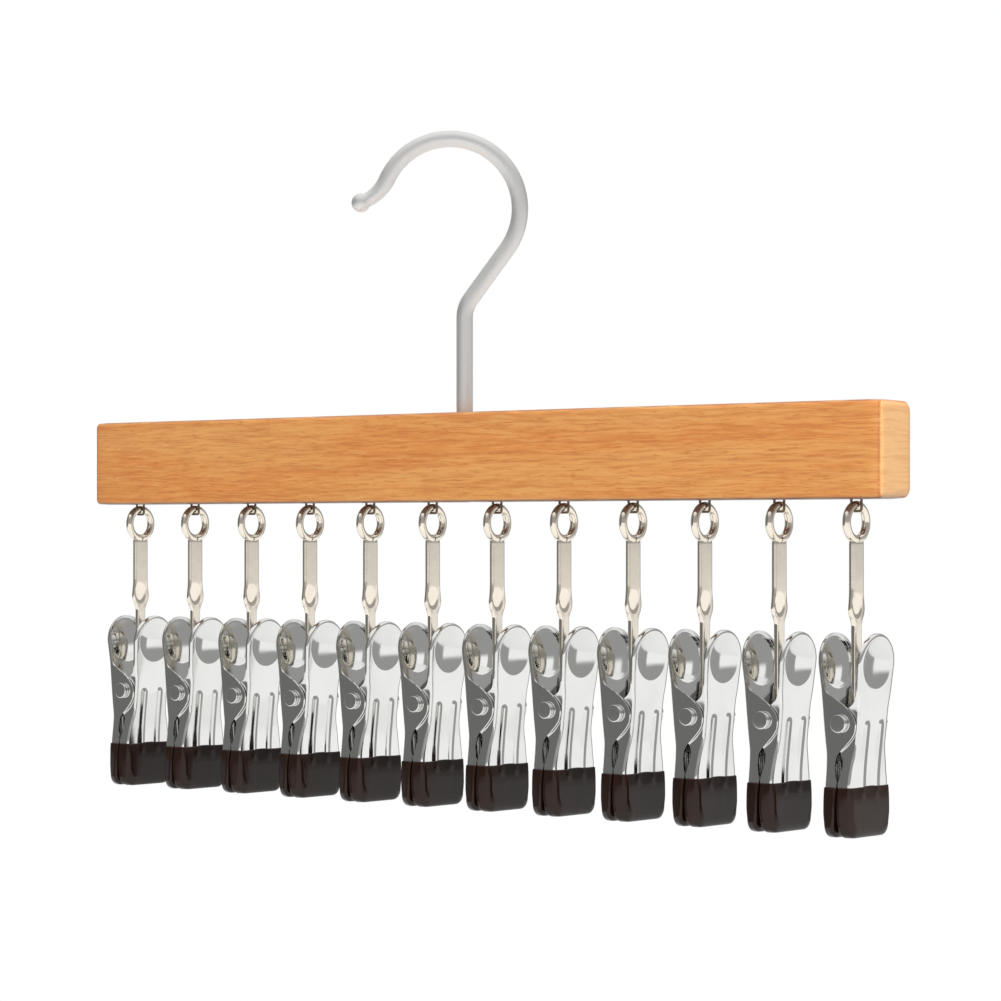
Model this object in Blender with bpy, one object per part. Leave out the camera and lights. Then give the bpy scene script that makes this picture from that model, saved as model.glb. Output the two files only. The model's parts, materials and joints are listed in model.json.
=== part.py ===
"""Wooden bar hanger with a swivelling wire hook and a row of spring clips.

The frame: +X runs along the bar, -Y is its front, +Z is up, and the origin is the point under
the top of the hook's arc where a rail holds it. Sizes are in metres.
"""

import math

import bmesh
import bpy
from mathutils import Matrix, Vector

# Clearances
GAP = 0.0003
EAR_GAP = 0.00025

# Bar
BAR_LENGTH = 0.300
BAR_DEPTH = 0.015
BAR_HEIGHT = 0.026
BAR_ROUNDING = 0.0018
BAR_ROUNDING_STEPS = 2
NUT_RECESS_DEPTH = 0.007
RECESS_SIDES = 16

# Hook: a wire in one plane that is turned about the stem
HOOK_TURN = math.radians(40.0)
HOOK_WIRE = 0.0048
HOOK_ARC_RADIUS = 0.0203
HOOK_STEM_OFFSET = 0.0042
HOOK_SEAT_HEIGHT = 0.0774
HOOK_LEAN = math.radians(36.0)
HOOK_BEND_RADIUS = 0.009
HOOK_ARC_END = math.radians(155.0)
HOOK_TIP_RADIUS = 0.0132
HOOK_TIP_TURN = math.radians(45.8)
HOOK_BALL = 0.0055
HOOK_BALL_FLAT = math.radians(17.0)
HOOK_BEND_STEPS = 3
HOOK_ARC_STEPS = 13
HOOK_TIP_STEPS = 4
HOOK_BALL_STEPS = 5
HOOK_SIDES = 10
STEM_END_ABOVE_UNDERSIDE = 0.001
WASHER_RADIUS = 0.005
WASHER_THICKNESS = 0.0008
NUT_RADIUS = 0.00404
NUT_HEIGHT = 0.0032

# Row of clips
CLIP_COUNT = 12
CLIP_END_MARGIN = 0.013

# Staple that holds a ring
STAPLE_WIRE = 0.0011
STAPLE_CORNER = 0.0009
STAPLE_DEPTH_IN_BAR = 0.0015
STAPLE_SIDES = 6

# Strap: ring, shank, bulge, neck and tongue
RING_OUTER = 0.0114
RING_WIRE = 0.00215
RING_TOP_GAP = 0.0004
RING_STEPS = 12
RING_SIDES = 6
PIN_BELOW_BAR = 0.0589
SHANK_WIDTH = 0.0056
SHANK_THICKNESS = 0.0016
BULGE_WIDTH = 0.0065
BULGE_THICKNESS = 0.0015
BULGE_FOOT_THICKNESS = 0.0013
BULGE_HEIGHT = 0.0312
BULGE_LENGTH = 0.0062
NECK_WIDTH = 0.0038
NECK_HEIGHT = 0.0266
TONGUE_WIDTH = 0.0032
TONGUE_THICKNESS = 0.0016
KNUCKLE_RADIUS = 0.0020

# Rivet
PIN_RADIUS = 0.0013
RIVET_HEAD_RADIUS = 0.0024
RIVET_HEAD_HEIGHT = 0.0007
RIVET_NECK = 0.0006
PIN_SIDES = 8

# Levers: heights are from the pin, face distances from the clip's middle plane
SHEET = 0.0006
RIM = 0.0010
HEAD_TOP = 0.0236
HEAD_WIDTH = 0.0164
HEAD_FACE = 0.00685
WAIST_WIDTH = 0.0154
PIN_FACE = 0.00545
JAW_FACE = 0.0040
JAW_WIDTH = 0.0181
HEAD_TOP_ANGLE = math.radians(70.0)
HEAD_STEPS = 3
EAR_TOP = 0.0086
EAR_TOP_REACH = -0.0041
EAR_BLEND = 0.0020
EAR_SHOULDER = 0.0040
EAR_SHOULDER_REACH = 0.0025
EAR_REACH = 0.0048
EAR_BELLY = -0.0027
EAR_FOOT = -0.0076
EAR_FOOT_REACH = 0.00035
INNER_EAR_TOP = 0.0056
INNER_EAR_BLEND = 0.0012
INNER_EAR_CREST_REACH = -0.0032
INNER_EAR_SHOULDER = 0.0034
INNER_EAR_SHOULDER_REACH = 0.0011
INNER_EAR_ROOM = 0.00055
INNER_EAR_BELLY = -0.0030
INNER_EAR_BELLY_REACH = 0.0038
FLANGE_GAP = 0.0024
FLANGE_GAP_HEIGHT = -0.011
JAW_GAP = 0.0004
DIP_TOP = -0.0165
DIP_BOTTOM = -0.030
DIP_LEDGE = 0.0002
DIP_COAT_FACE = 0.0006
DIP_COAT_SIDE = 0.00085
DIP_SPREAD = 0.0005
DIP_CORNER = 0.003

# Torsion spring on the pin
SPRING_WIRE = 0.0008
SPRING_FULL_TURNS = 2
SPRING_ARM = 0.0140
SPRING_STEPS_PER_TURN = 8
SPRING_SIDES = 6

# Values that follow from the sizes above
WIRE_RADIUS = HOOK_WIRE / 2
ARC_CENTRE_Z = WIRE_RADIUS - HOOK_ARC_RADIUS
BAR_TOP = -HOOK_SEAT_HEIGHT
BAR_UNDERSIDE = BAR_TOP - BAR_HEIGHT
RING_RADIUS = (RING_OUTER - RING_WIRE) / 2
RING_CENTRE = BAR_UNDERSIDE - RING_TOP_GAP - RING_OUTER / 2
PIN_Z = BAR_UNDERSIDE - PIN_BELOW_BAR
RING_ABOVE_PIN = RING_CENTRE - PIN_Z
HOOK_DIRECTION = Vector((math.cos(HOOK_TURN), math.sin(HOOK_TURN), 0.0))
SWIVEL = HOOK_DIRECTION * HOOK_STEM_OFFSET
CLIP_PITCH = (BAR_LENGTH - 2 * CLIP_END_MARGIN) / (CLIP_COUNT - 1)
STEM_BORE = WIRE_RADIUS + GAP
OUTER_EAR = WAIST_WIDTH / 2
INNER_EAR = OUTER_EAR - SHEET - EAR_GAP
INNER_EAR_REACH = PIN_FACE - SHEET - INNER_EAR_ROOM
RIVET_HEAD_INNER = OUTER_EAR + RIVET_NECK
DIP_FACE = JAW_FACE + DIP_COAT_FACE
DIP_HALF_TOP = JAW_WIDTH / 2 + DIP_COAT_SIDE
DIP_HALF = DIP_HALF_TOP + DIP_SPREAD
COIL_RADIUS = PIN_RADIUS + GAP + SPRING_WIRE / 2
COIL_START = TONGUE_WIDTH / 2 + GAP + SPRING_WIRE / 2
COIL_END = INNER_EAR - SHEET - GAP - SPRING_WIRE / 2

MATERIALS = {
    "wood": ((0.68, 0.27, 0.07), 0.45, 0.0),
    "hook_steel": ((0.55, 0.55, 0.55), 0.35, 1.0),
    "zinc": ((0.5, 0.5, 0.52), 0.4, 1.0),
    "nickel": ((0.62, 0.55, 0.45), 0.25, 1.0),
    "pressed_steel": ((0.72, 0.72, 0.72), 0.2, 1.0),
    "spring_steel": ((0.4, 0.4, 0.42), 0.3, 1.0),
}


def make_material(name):
    """Principled material from its colour, roughness and metallic value."""
    colour, roughness, metallic = MATERIALS[name]
    material = bpy.data.materials.new(name)
    material.use_nodes = True
    shader = material.node_tree.nodes["Principled BSDF"]
    shader.inputs["Base Color"].default_value = (*colour, 1.0)
    shader.inputs["Roughness"].default_value = roughness
    shader.inputs["Metallic"].default_value = metallic
    return material


def add_object(name, mesh, material, parent=None, location=(0.0, 0.0, 0.0)):
    """Object that holds a mesh, placed under its parent."""
    if not mesh.materials:
        mesh.materials.append(material)
    thing = bpy.data.objects.new(name, mesh)
    thing.parent = parent
    thing.location = location
    bpy.context.scene.collection.objects.link(thing)
    return thing


def add_empty(name, location, parent=None):
    """Empty that marks a joint's axis and carries what turns on it."""
    empty = bpy.data.objects.new(name, None)
    empty.empty_display_size = 0.005
    empty.parent = parent
    empty.location = location
    bpy.context.scene.collection.objects.link(empty)
    return empty


def finish_mesh(name, bm, sharp_angle=40.0):
    """Mesh from a bmesh, with its faces out, triangulated and shaded smooth between sharp edges."""
    bmesh.ops.recalc_face_normals(bm, faces=bm.faces)
    bmesh.ops.triangulate(bm, faces=bm.faces)
    mesh = bpy.data.meshes.new(name)
    bm.to_mesh(mesh)
    bm.free()
    mesh.shade_smooth()
    mesh.set_sharp_from_angle(angle=math.radians(sharp_angle))
    return mesh


def loft(bm, sections, closed=False):
    """Solid through a row of sections with equal point counts: ends capped, or joined in a ring."""
    rings = [[bm.verts.new(point) for point in section] for section in sections]
    pairs = list(zip(rings, rings[1:]))
    if closed:
        pairs.append((rings[-1], rings[0]))
    for first, second in pairs:
        for i in range(len(first)):
            j = (i + 1) % len(first)
            bm.faces.new((first[i], first[j], second[j], second[i]))
    if not closed:
        bm.faces.new(rings[0])
        bm.faces.new(rings[-1])


def tube(bm, points, radii, sides, across):
    """Round tube along points; across is a direction that the path never runs along."""
    sections = []
    for i, point in enumerate(points):
        before = points[max(i - 1, 0)]
        after = points[min(i + 1, len(points) - 1)]
        along = (after - before).normalized()
        side = along.cross(across).normalized()
        up = side.cross(along)
        sections.append([
            point + (side * math.cos(turn) + up * math.sin(turn)) * radii[i]
            for turn in (2 * math.pi * k / sides for k in range(sides))
        ])
    loft(bm, sections)


def turned(bm, profile, sides, axis_matrix):
    """Solid of revolution about local Z from (radius, height) pairs, set by a matrix."""
    sections = []
    for radius, height in profile:
        sections.append([
            axis_matrix @ Vector((radius * math.cos(turn), radius * math.sin(turn), height))
            for turn in (2 * math.pi * (k + 0.5) / sides for k in range(sides))
        ])
    loft(bm, sections)


def boolean(base_mesh, tool_mesh, operation):
    """Mesh of one solid joined with or cut by another."""
    base = bpy.data.objects.new("base", base_mesh)
    tool = bpy.data.objects.new("tool", tool_mesh)
    bpy.context.scene.collection.objects.link(base)
    bpy.context.scene.collection.objects.link(tool)
    modifier = base.modifiers.new("boolean", "BOOLEAN")
    modifier.operation = operation
    modifier.solver = "EXACT"
    modifier.object = tool
    evaluated = base.evaluated_get(bpy.context.evaluated_depsgraph_get())
    bm = bmesh.new()
    bm.from_mesh(evaluated.data)
    bmesh.ops.dissolve_degenerate(bm, dist=0.000001, edges=bm.edges)
    bpy.data.objects.remove(base)
    bpy.data.objects.remove(tool)
    return finish_mesh(base_mesh.name, bm)


def arc_points(centre, radius, start, end, steps):
    """Points (u, z) along an arc in the hook's plane."""
    points = []
    for k in range(steps + 1):
        angle = start + (end - start) * k / steps
        points.append((centre[0] + radius * math.cos(angle), centre[1] + radius * math.sin(angle)))
    return points


def hook_mesh():
    """Hook wire: stem, bend, leaning run, arc, outward tip and ball, as one tube."""
    arc_start = -HOOK_LEAN
    lean_end = (HOOK_ARC_RADIUS * math.cos(arc_start), ARC_CENTRE_Z + HOOK_ARC_RADIUS * math.sin(arc_start))
    bend_z = lean_end[1] - (lean_end[0] - HOOK_STEM_OFFSET) / math.tan(HOOK_LEAN)
    bend_cut = HOOK_BEND_RADIUS * math.tan(HOOK_LEAN / 2)
    bend_centre = (HOOK_STEM_OFFSET + HOOK_BEND_RADIUS, bend_z - bend_cut)
    path = [(HOOK_STEM_OFFSET, BAR_UNDERSIDE + STEM_END_ABOVE_UNDERSIDE)]
    path += arc_points(bend_centre, HOOK_BEND_RADIUS, math.pi, math.pi - HOOK_LEAN, HOOK_BEND_STEPS)
    path += arc_points((0.0, ARC_CENTRE_Z), HOOK_ARC_RADIUS, arc_start, HOOK_ARC_END, HOOK_ARC_STEPS)
    tip_start = path[-1]
    outward = (math.cos(HOOK_ARC_END), math.sin(HOOK_ARC_END))
    tip_centre = (
        tip_start[0] + HOOK_TIP_RADIUS * outward[0],
        tip_start[1] + HOOK_TIP_RADIUS * outward[1],
    )
    tip_angle = HOOK_ARC_END + math.pi
    tip_end = tip_angle - HOOK_TIP_TURN
    path += arc_points(tip_centre, HOOK_TIP_RADIUS, tip_angle, tip_end, HOOK_TIP_STEPS)[1:]
    radii = [WIRE_RADIUS] * len(path)
    end_angle = tip_end - math.pi / 2
    end_way = (math.cos(end_angle), math.sin(end_angle))
    ball_radius = HOOK_BALL / 2
    neck_angle = math.asin(WIRE_RADIUS / ball_radius)
    ball_centre = path.pop()
    radii.pop()
    for k in range(HOOK_BALL_STEPS + 1):
        angle = neck_angle + (math.pi - HOOK_BALL_FLAT - neck_angle) * k / HOOK_BALL_STEPS
        reach = -ball_radius * math.cos(angle)
        path.append((ball_centre[0] + reach * end_way[0], ball_centre[1] + reach * end_way[1]))
        radii.append(ball_radius * math.sin(angle))
    bm = bmesh.new()
    points = [HOOK_DIRECTION * u + Vector((0.0, 0.0, z)) for u, z in path]
    across = HOOK_DIRECTION.cross(Vector((0.0, 0.0, 1.0)))
    tube(bm, points, radii, HOOK_SIDES, across)
    return finish_mesh("hook", bm)


def bar_mesh():
    """Bar about the swivel axis, with its stem bore, nut recess and the staples in its underside."""
    bm = bmesh.new()
    middle = Matrix.Translation((0.0, 0.0, BAR_TOP - BAR_HEIGHT / 2))
    size = Matrix.Diagonal((BAR_LENGTH, BAR_DEPTH, BAR_HEIGHT, 1.0))
    bmesh.ops.create_cube(bm, size=1.0, matrix=middle @ size)
    bmesh.ops.bevel(
        bm, geom=bm.edges[:], offset=BAR_ROUNDING, offset_type="OFFSET", segments=BAR_ROUNDING_STEPS,
        profile=0.5, affect="EDGES",
    )
    bar = finish_mesh("bar", bm)

    cutter = bmesh.new()
    past = BAR_ROUNDING
    recess_radius = WASHER_RADIUS + GAP
    recess_top = BAR_UNDERSIDE + NUT_RECESS_DEPTH
    profile = [
        (recess_radius, BAR_UNDERSIDE - past),
        (recess_radius, recess_top),
        (STEM_BORE, recess_top),
        (STEM_BORE, BAR_TOP + past),
    ]
    turned(cutter, profile, RECESS_SIDES, Matrix.Identity(4))
    bar = boolean(bar, finish_mesh("recess", cutter), "DIFFERENCE")

    staples = bmesh.new()
    wire = STAPLE_WIRE / 2
    leg = RING_WIRE / 2 + GAP + wire
    rest = RING_CENTRE + RING_OUTER / 2 - RING_WIRE - GAP - wire
    top = BAR_UNDERSIDE + STAPLE_DEPTH_IN_BAR
    for x in clip_places():
        points = [
            Vector((x - leg, 0.0, top)),
            Vector((x - leg, 0.0, rest + STAPLE_CORNER)),
            Vector((x - leg + STAPLE_CORNER, 0.0, rest)),
            Vector((x + leg - STAPLE_CORNER, 0.0, rest)),
            Vector((x + leg, 0.0, rest + STAPLE_CORNER)),
            Vector((x + leg, 0.0, top)),
        ]
        tube(staples, points, [wire] * len(points), STAPLE_SIDES, Vector((0.0, 1.0, 0.0)))
    return boolean(bar, finish_mesh("staples", staples), "UNION")


def clip_places():
    """X of each clip from the middle of the bar."""
    return [(i - (CLIP_COUNT - 1) / 2) * CLIP_PITCH for i in range(CLIP_COUNT)]


def washer_mesh():
    """Washer under the recess's ceiling."""
    top = BAR_UNDERSIDE + NUT_RECESS_DEPTH - GAP
    return ring_plate("hook_washer", WASHER_RADIUS, top - WASHER_THICKNESS, top, RECESS_SIDES)


def nut_mesh():
    """Hexagon nut under the washer."""
    top = BAR_UNDERSIDE + NUT_RECESS_DEPTH - 2 * GAP - WASHER_THICKNESS
    return ring_plate("hook_nut", NUT_RADIUS, top - NUT_HEIGHT, top, 6)


def ring_plate(name, radius, bottom, top, sides):
    """Flat ring round the stem, with the outline's own number of sides."""
    bm = bmesh.new()
    bore = STEM_BORE / math.cos(math.pi / sides)
    corners = [(radius, bottom), (radius, top), (bore, top), (bore, bottom)]
    sections = []
    for k in range(sides):
        turn = 2 * math.pi * k / sides
        sections.append([Vector((r * math.cos(turn), r * math.sin(turn), z)) for r, z in corners])
    loft(bm, sections, closed=True)
    return finish_mesh(name, bm)


def flat_section(half_width, half_thickness, z):
    """Eight-cornered section of the strap: width along Y, thickness along X."""
    cut = min(half_width, half_thickness) * 0.5
    corners = [
        (half_thickness, half_width - cut), (half_thickness - cut, half_width),
        (cut - half_thickness, half_width), (-half_thickness, half_width - cut),
        (-half_thickness, cut - half_width), (cut - half_thickness, -half_width),
        (half_thickness - cut, -half_width), (half_thickness, cut - half_width),
    ]
    return [Vector((x, y, z - RING_ABOVE_PIN)) for x, y in corners]


def strap_mesh():
    """Ring, shank, bulge, neck and tongue with the rivet through its knuckle; origin in the ring."""
    ring = bmesh.new()
    sections = []
    for k in range(RING_STEPS):
        turn = 2 * math.pi * k / RING_STEPS
        out = Vector((0.0, math.sin(turn), math.cos(turn)))
        sections.append([
            out * (RING_RADIUS + RING_WIRE / 2 * math.cos(around))
            + Vector((RING_WIRE / 2 * math.sin(around), 0.0, 0.0))
            for around in (2 * math.pi * (j + 0.5) / RING_SIDES for j in range(RING_SIDES))
        ])
    loft(ring, sections, closed=True)

    body = bmesh.new()
    shank_top = RING_ABOVE_PIN - RING_RADIUS
    bulge_top = BULGE_HEIGHT + BULGE_LENGTH / 2
    bulge_foot = BULGE_HEIGHT - BULGE_LENGTH / 2
    stations = [
        (SHANK_WIDTH, SHANK_THICKNESS, shank_top),
        (SHANK_WIDTH, SHANK_THICKNESS, bulge_top),
        (BULGE_WIDTH, BULGE_THICKNESS, BULGE_HEIGHT),
        (SHANK_WIDTH, BULGE_FOOT_THICKNESS, bulge_foot),
        (NECK_WIDTH, TONGUE_THICKNESS, NECK_HEIGHT),
        (TONGUE_WIDTH, TONGUE_THICKNESS, KNUCKLE_RADIUS / 2),
    ]
    loft(body, [flat_section(width / 2, thick / 2, z) for width, thick, z in stations])

    rivet = bmesh.new()
    knuckle = TONGUE_WIDTH / 2
    head_end = RIVET_HEAD_INNER + RIVET_HEAD_HEIGHT
    half = [
        (KNUCKLE_RADIUS, knuckle), (PIN_RADIUS, knuckle), (PIN_RADIUS, RIVET_HEAD_INNER),
        (RIVET_HEAD_RADIUS, RIVET_HEAD_INNER), (RIVET_HEAD_RADIUS, head_end),
    ]
    profile = [(radius, -y) for radius, y in reversed(half)] + half
    along_y = Matrix.Translation((0.0, 0.0, -RING_ABOVE_PIN)) @ Matrix.Rotation(-math.pi / 2, 4, "X")
    turned(rivet, profile, PIN_SIDES, along_y)

    strap = boolean(finish_mesh("strap", ring), finish_mesh("body", body), "UNION")
    return boolean(strap, finish_mesh("rivet", rivet), "UNION")


def face_at(z):
    """Distance of a lever's face from the middle plane at a height, straight from head to pin to jaw."""
    if z > 0:
        return PIN_FACE + (HEAD_FACE - PIN_FACE) * z / (HEAD_TOP - HEAD_WIDTH / 2)
    return PIN_FACE + (JAW_FACE - PIN_FACE) * z / DIP_TOP


def ear_stations(outer):
    """Heights of an ear's corners, each with half the width over the ears and the reach past the middle."""
    if outer:
        return [
            (EAR_TOP + EAR_BLEND, OUTER_EAR, RIM - face_at(EAR_TOP + EAR_BLEND)),
            (EAR_TOP, OUTER_EAR, EAR_TOP_REACH),
            (EAR_SHOULDER, OUTER_EAR, EAR_SHOULDER_REACH),
            (0.0, OUTER_EAR, EAR_REACH),
            (EAR_BELLY, OUTER_EAR, EAR_REACH),
            (EAR_FOOT, OUTER_EAR, EAR_FOOT_REACH),
        ]
    return [
        (INNER_EAR_TOP, OUTER_EAR, RIM - face_at(INNER_EAR_TOP)),
        (INNER_EAR_TOP - INNER_EAR_BLEND, INNER_EAR, INNER_EAR_CREST_REACH),
        (INNER_EAR_SHOULDER, INNER_EAR, INNER_EAR_SHOULDER_REACH),
        (0.0, INNER_EAR, INNER_EAR_REACH),
        (INNER_EAR_BELLY, INNER_EAR, INNER_EAR_BELLY_REACH),
        (EAR_FOOT, INNER_EAR, EAR_FOOT_REACH),
    ]


def lever_stations(outer):
    """Stations (height, face, half width, flange tip, solid) down a lever that faces +X.

    The outer lever's ears lie outside the inner lever's, so the inner one is narrower there.
    """
    head = HEAD_WIDTH / 2
    stations = []
    for step in range(HEAD_STEPS, -1, -1):
        angle = HEAD_TOP_ANGLE * step / HEAD_STEPS
        z = HEAD_TOP - head + head * math.sin(angle)
        stations.append((z, face_at(z), head * math.cos(angle), face_at(z) - RIM, step == HEAD_STEPS))
    stations += [(z, face_at(z), half, -reach, False) for z, half, reach in ear_stations(outer)]
    flange = JAW_WIDTH / 2
    ledge = DIP_TOP + DIP_LEDGE
    share = (FLANGE_GAP_HEIGHT - EAR_FOOT) / (ledge - EAR_FOOT)
    gap_half = OUTER_EAR + (flange - OUTER_EAR) * share
    corner = DIP_BOTTOM + DIP_CORNER
    tip = JAW_GAP / 2
    stations.append((FLANGE_GAP_HEIGHT, face_at(FLANGE_GAP_HEIGHT), gap_half, FLANGE_GAP / 2, False))
    stations.append((ledge, JAW_FACE, flange, tip, False))
    stations.append((DIP_TOP, DIP_FACE, DIP_HALF_TOP, tip, True))
    stations.append((corner, DIP_FACE, DIP_HALF, tip, True))
    stations.append((DIP_BOTTOM, DIP_FACE, DIP_HALF - DIP_CORNER, tip, True))
    return stations


def lever_mesh(name, outer):
    """Lever with its dipped jaw, as a channel along Z; the outer one faces -X, the inner one +X."""
    side = -1.0 if outer else 1.0
    bm = bmesh.new()
    sections = []
    for z, face, half, tip, solid in lever_stations(outer):
        plate, inner = (tip, half - 2 * SHEET) if solid else (face - SHEET, half - SHEET)
        corners = [
            (face, half), (tip, half), (tip, half - SHEET), (plate, inner),
            (plate, -inner), (tip, SHEET - half), (tip, -half), (face, -half),
        ]
        sections.append([Vector((side * x, y, z)) for x, y in corners])
    loft(bm, sections)
    lever = finish_mesh(name, bm)

    cutter = bmesh.new()
    hole = PIN_RADIUS + GAP
    reach = WAIST_WIDTH
    turned(cutter, [(hole, -reach), (hole, reach)], PIN_SIDES, Matrix.Rotation(-math.pi / 2, 4, "X"))
    return boolean(lever, finish_mesh("pin_hole", cutter), "DIFFERENCE")


def spring_path():
    """Centre line of the torsion spring about the pin: arm, turns and arm."""
    arm_x = face_at(SPRING_ARM) - SHEET - GAP - SPRING_WIRE / 2
    lean = math.atan2(arm_x - COIL_RADIUS, SPRING_ARM)
    start = -lean
    total = -(math.pi - 2 * lean + 2 * math.pi * SPRING_FULL_TURNS)
    steps = round(-total / (2 * math.pi) * SPRING_STEPS_PER_TURN)
    points = [Vector((arm_x, COIL_START, SPRING_ARM))]
    for k in range(steps + 1):
        angle = start + total * k / steps
        y = COIL_START + (COIL_END - COIL_START) * k / steps
        points.append(Vector((COIL_RADIUS * math.cos(angle), y, COIL_RADIUS * math.sin(angle))))
    points.append(Vector((-arm_x, COIL_END, SPRING_ARM)))
    return points


def least_gap(points, wire):
    """Smallest clear distance between stretches of a path that aren't neighbours."""
    fine = []
    for first, second in zip(points, points[1:]):
        fine += [first.lerp(second, k / 4) for k in range(4)]
    apart = SPRING_STEPS_PER_TURN * 4 // 2
    least = min(
        (a - b).length for i, a in enumerate(fine) for b in fine[i + apart:]
    )
    return least - wire


def spring_mesh():
    """Torsion spring as one unbroken wire."""
    points = spring_path()
    bm = bmesh.new()
    radii = [SPRING_WIRE / 2] * len(points)
    tube(bm, points, radii, SPRING_SIDES, Vector((0.0, 1.0, 0.0)))
    print("spring: least gap to itself", round(least_gap(points, SPRING_WIRE) * 1000, 3), "mm")
    return finish_mesh("spring", bm)


def main():
    """Build the hanger."""
    for thing in list(bpy.data.objects):
        bpy.data.objects.remove(thing)
    materials = {name: make_material(name) for name in MATERIALS}

    add_object("hook", hook_mesh(), materials["hook_steel"])
    swivel = add_empty("bar_swivel", SWIVEL)
    add_object("bar", bar_mesh(), materials["wood"], swivel)
    add_object("hook_washer", washer_mesh(), materials["zinc"], swivel)
    add_object("hook_nut", nut_mesh(), materials["zinc"], swivel)

    strap = strap_mesh()
    left_lever = lever_mesh("left_lever", outer=True)
    right_lever = lever_mesh("right_lever", outer=False)
    spring = spring_mesh()
    for number, x in enumerate(clip_places(), start=1):
        clip = f"clip_{number:02d}"
        swing = add_empty(f"{clip}_swing", (x, 0.0, RING_CENTRE), swivel)
        pivot = add_empty(f"{clip}_pivot", (0.0, 0.0, -RING_ABOVE_PIN), swing)
        add_object(f"{clip}_strap", strap, materials["nickel"], swing)
        add_object(f"{clip}_left_lever", left_lever, materials["pressed_steel"], pivot)
        add_object(f"{clip}_right_lever", right_lever, materials["pressed_steel"], pivot)
        add_object(f"{clip}_spring", spring, materials["spring_steel"], pivot)


main()
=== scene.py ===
"""Looks of the multi-clip hanger, laid out as a Blender add-on and run as a script.

Every piece is a surface worked out in metres about a place that the packed frame gives. +X runs along the
bar, -Y is its front and +Z is up. Pieces of one kind share one worked-out mesh, copied to each clip.
"""

import json
import math

import bmesh
import bpy
import numpy as np
from bpy.props import FloatProperty, FloatVectorProperty, PointerProperty
from bpy.types import Operator, Panel, PropertyGroup
from mathutils import Matrix, Vector


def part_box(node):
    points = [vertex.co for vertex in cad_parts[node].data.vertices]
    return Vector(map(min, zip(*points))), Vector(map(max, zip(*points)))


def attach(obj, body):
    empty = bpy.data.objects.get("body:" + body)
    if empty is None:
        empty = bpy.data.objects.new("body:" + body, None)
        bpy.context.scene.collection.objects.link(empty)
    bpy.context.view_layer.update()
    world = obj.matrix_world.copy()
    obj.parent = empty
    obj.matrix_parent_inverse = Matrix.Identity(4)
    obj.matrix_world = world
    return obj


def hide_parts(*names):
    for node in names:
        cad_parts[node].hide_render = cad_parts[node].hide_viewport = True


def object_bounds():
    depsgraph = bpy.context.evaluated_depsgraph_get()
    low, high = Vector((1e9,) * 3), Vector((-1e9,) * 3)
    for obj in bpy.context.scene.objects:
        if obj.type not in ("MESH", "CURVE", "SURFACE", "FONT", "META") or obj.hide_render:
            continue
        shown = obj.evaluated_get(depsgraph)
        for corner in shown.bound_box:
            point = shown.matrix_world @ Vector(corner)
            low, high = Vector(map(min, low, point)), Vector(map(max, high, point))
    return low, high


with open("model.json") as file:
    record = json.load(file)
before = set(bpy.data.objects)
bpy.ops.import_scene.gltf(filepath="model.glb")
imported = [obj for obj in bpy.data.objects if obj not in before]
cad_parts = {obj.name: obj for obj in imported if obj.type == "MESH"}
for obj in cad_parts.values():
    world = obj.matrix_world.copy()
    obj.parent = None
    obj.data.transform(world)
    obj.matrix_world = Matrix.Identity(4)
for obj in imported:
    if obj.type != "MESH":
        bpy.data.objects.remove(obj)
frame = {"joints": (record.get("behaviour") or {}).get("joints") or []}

bl_info = {
    "name": "Multi-clip hanger",
    "version": (1, 0, 0),
    "blender": (4, 5, 0),
    "location": "3D View > Sidebar > Hanger",
    "description": "Wooden bar hanger with a wire hook and a row of pressed spring clips",
    "category": "Add Mesh",
}

CAD_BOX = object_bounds()
MM = 0.001
IMAGE_SIZE = 1001.0

JOINT_PLACES = {joint["name"]: np.array(joint["pos_m"]) for joint in frame["joints"]}
CLIPS = sorted(name[:-len("_swing")] for name in JOINT_PLACES if name.endswith("_swing"))
SWIVEL = JOINT_PLACES["bar_swivel"]
RING_CENTRE = JOINT_PLACES["clip_01_swing"][2]
RING_ABOVE_PIN = RING_CENTRE - JOINT_PLACES["clip_01_right_squeeze"][2]
BAR_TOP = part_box("bar")[1].z
BAR_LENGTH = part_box("bar")[1].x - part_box("bar")[0].x
BAR_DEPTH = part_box("bar")[1].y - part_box("bar")[0].y
WASHER_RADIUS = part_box("hook_washer")[1].x - SWIVEL[0]
WASHER_LOW, WASHER_HIGH = (corner.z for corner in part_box("hook_washer"))
NUT_HALF_WIDTH = (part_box("hook_nut")[1].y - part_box("hook_nut")[0].y) / 2
NUT_LOW, NUT_HIGH = (corner.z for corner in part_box("hook_nut"))


def linear(code):
    """Linear colour from an sRGB hex code."""
    shares = [int(code[i:i + 2], 16) / 255 for i in (0, 2, 4)]
    return [c / 12.92 if c <= 0.04045 else ((c + 0.055) / 1.055) ** 2.4 for c in shares]


def length(name, description, default):
    """Property for a size in metres."""
    return FloatProperty(name=name, description=description, default=default, unit="LENGTH", precision=5)


def colour(name, description, code):
    """Property for a colour given as sRGB hex."""
    return FloatVectorProperty(
        name=name, description=description, default=linear(code), subtype="COLOR", min=0.0, max=1.0,
    )


def angle(name, description, degrees):
    """Property for an angle."""
    return FloatProperty(
        name=name, description=description, default=math.radians(degrees), unit="ROTATION",
    )


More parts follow.
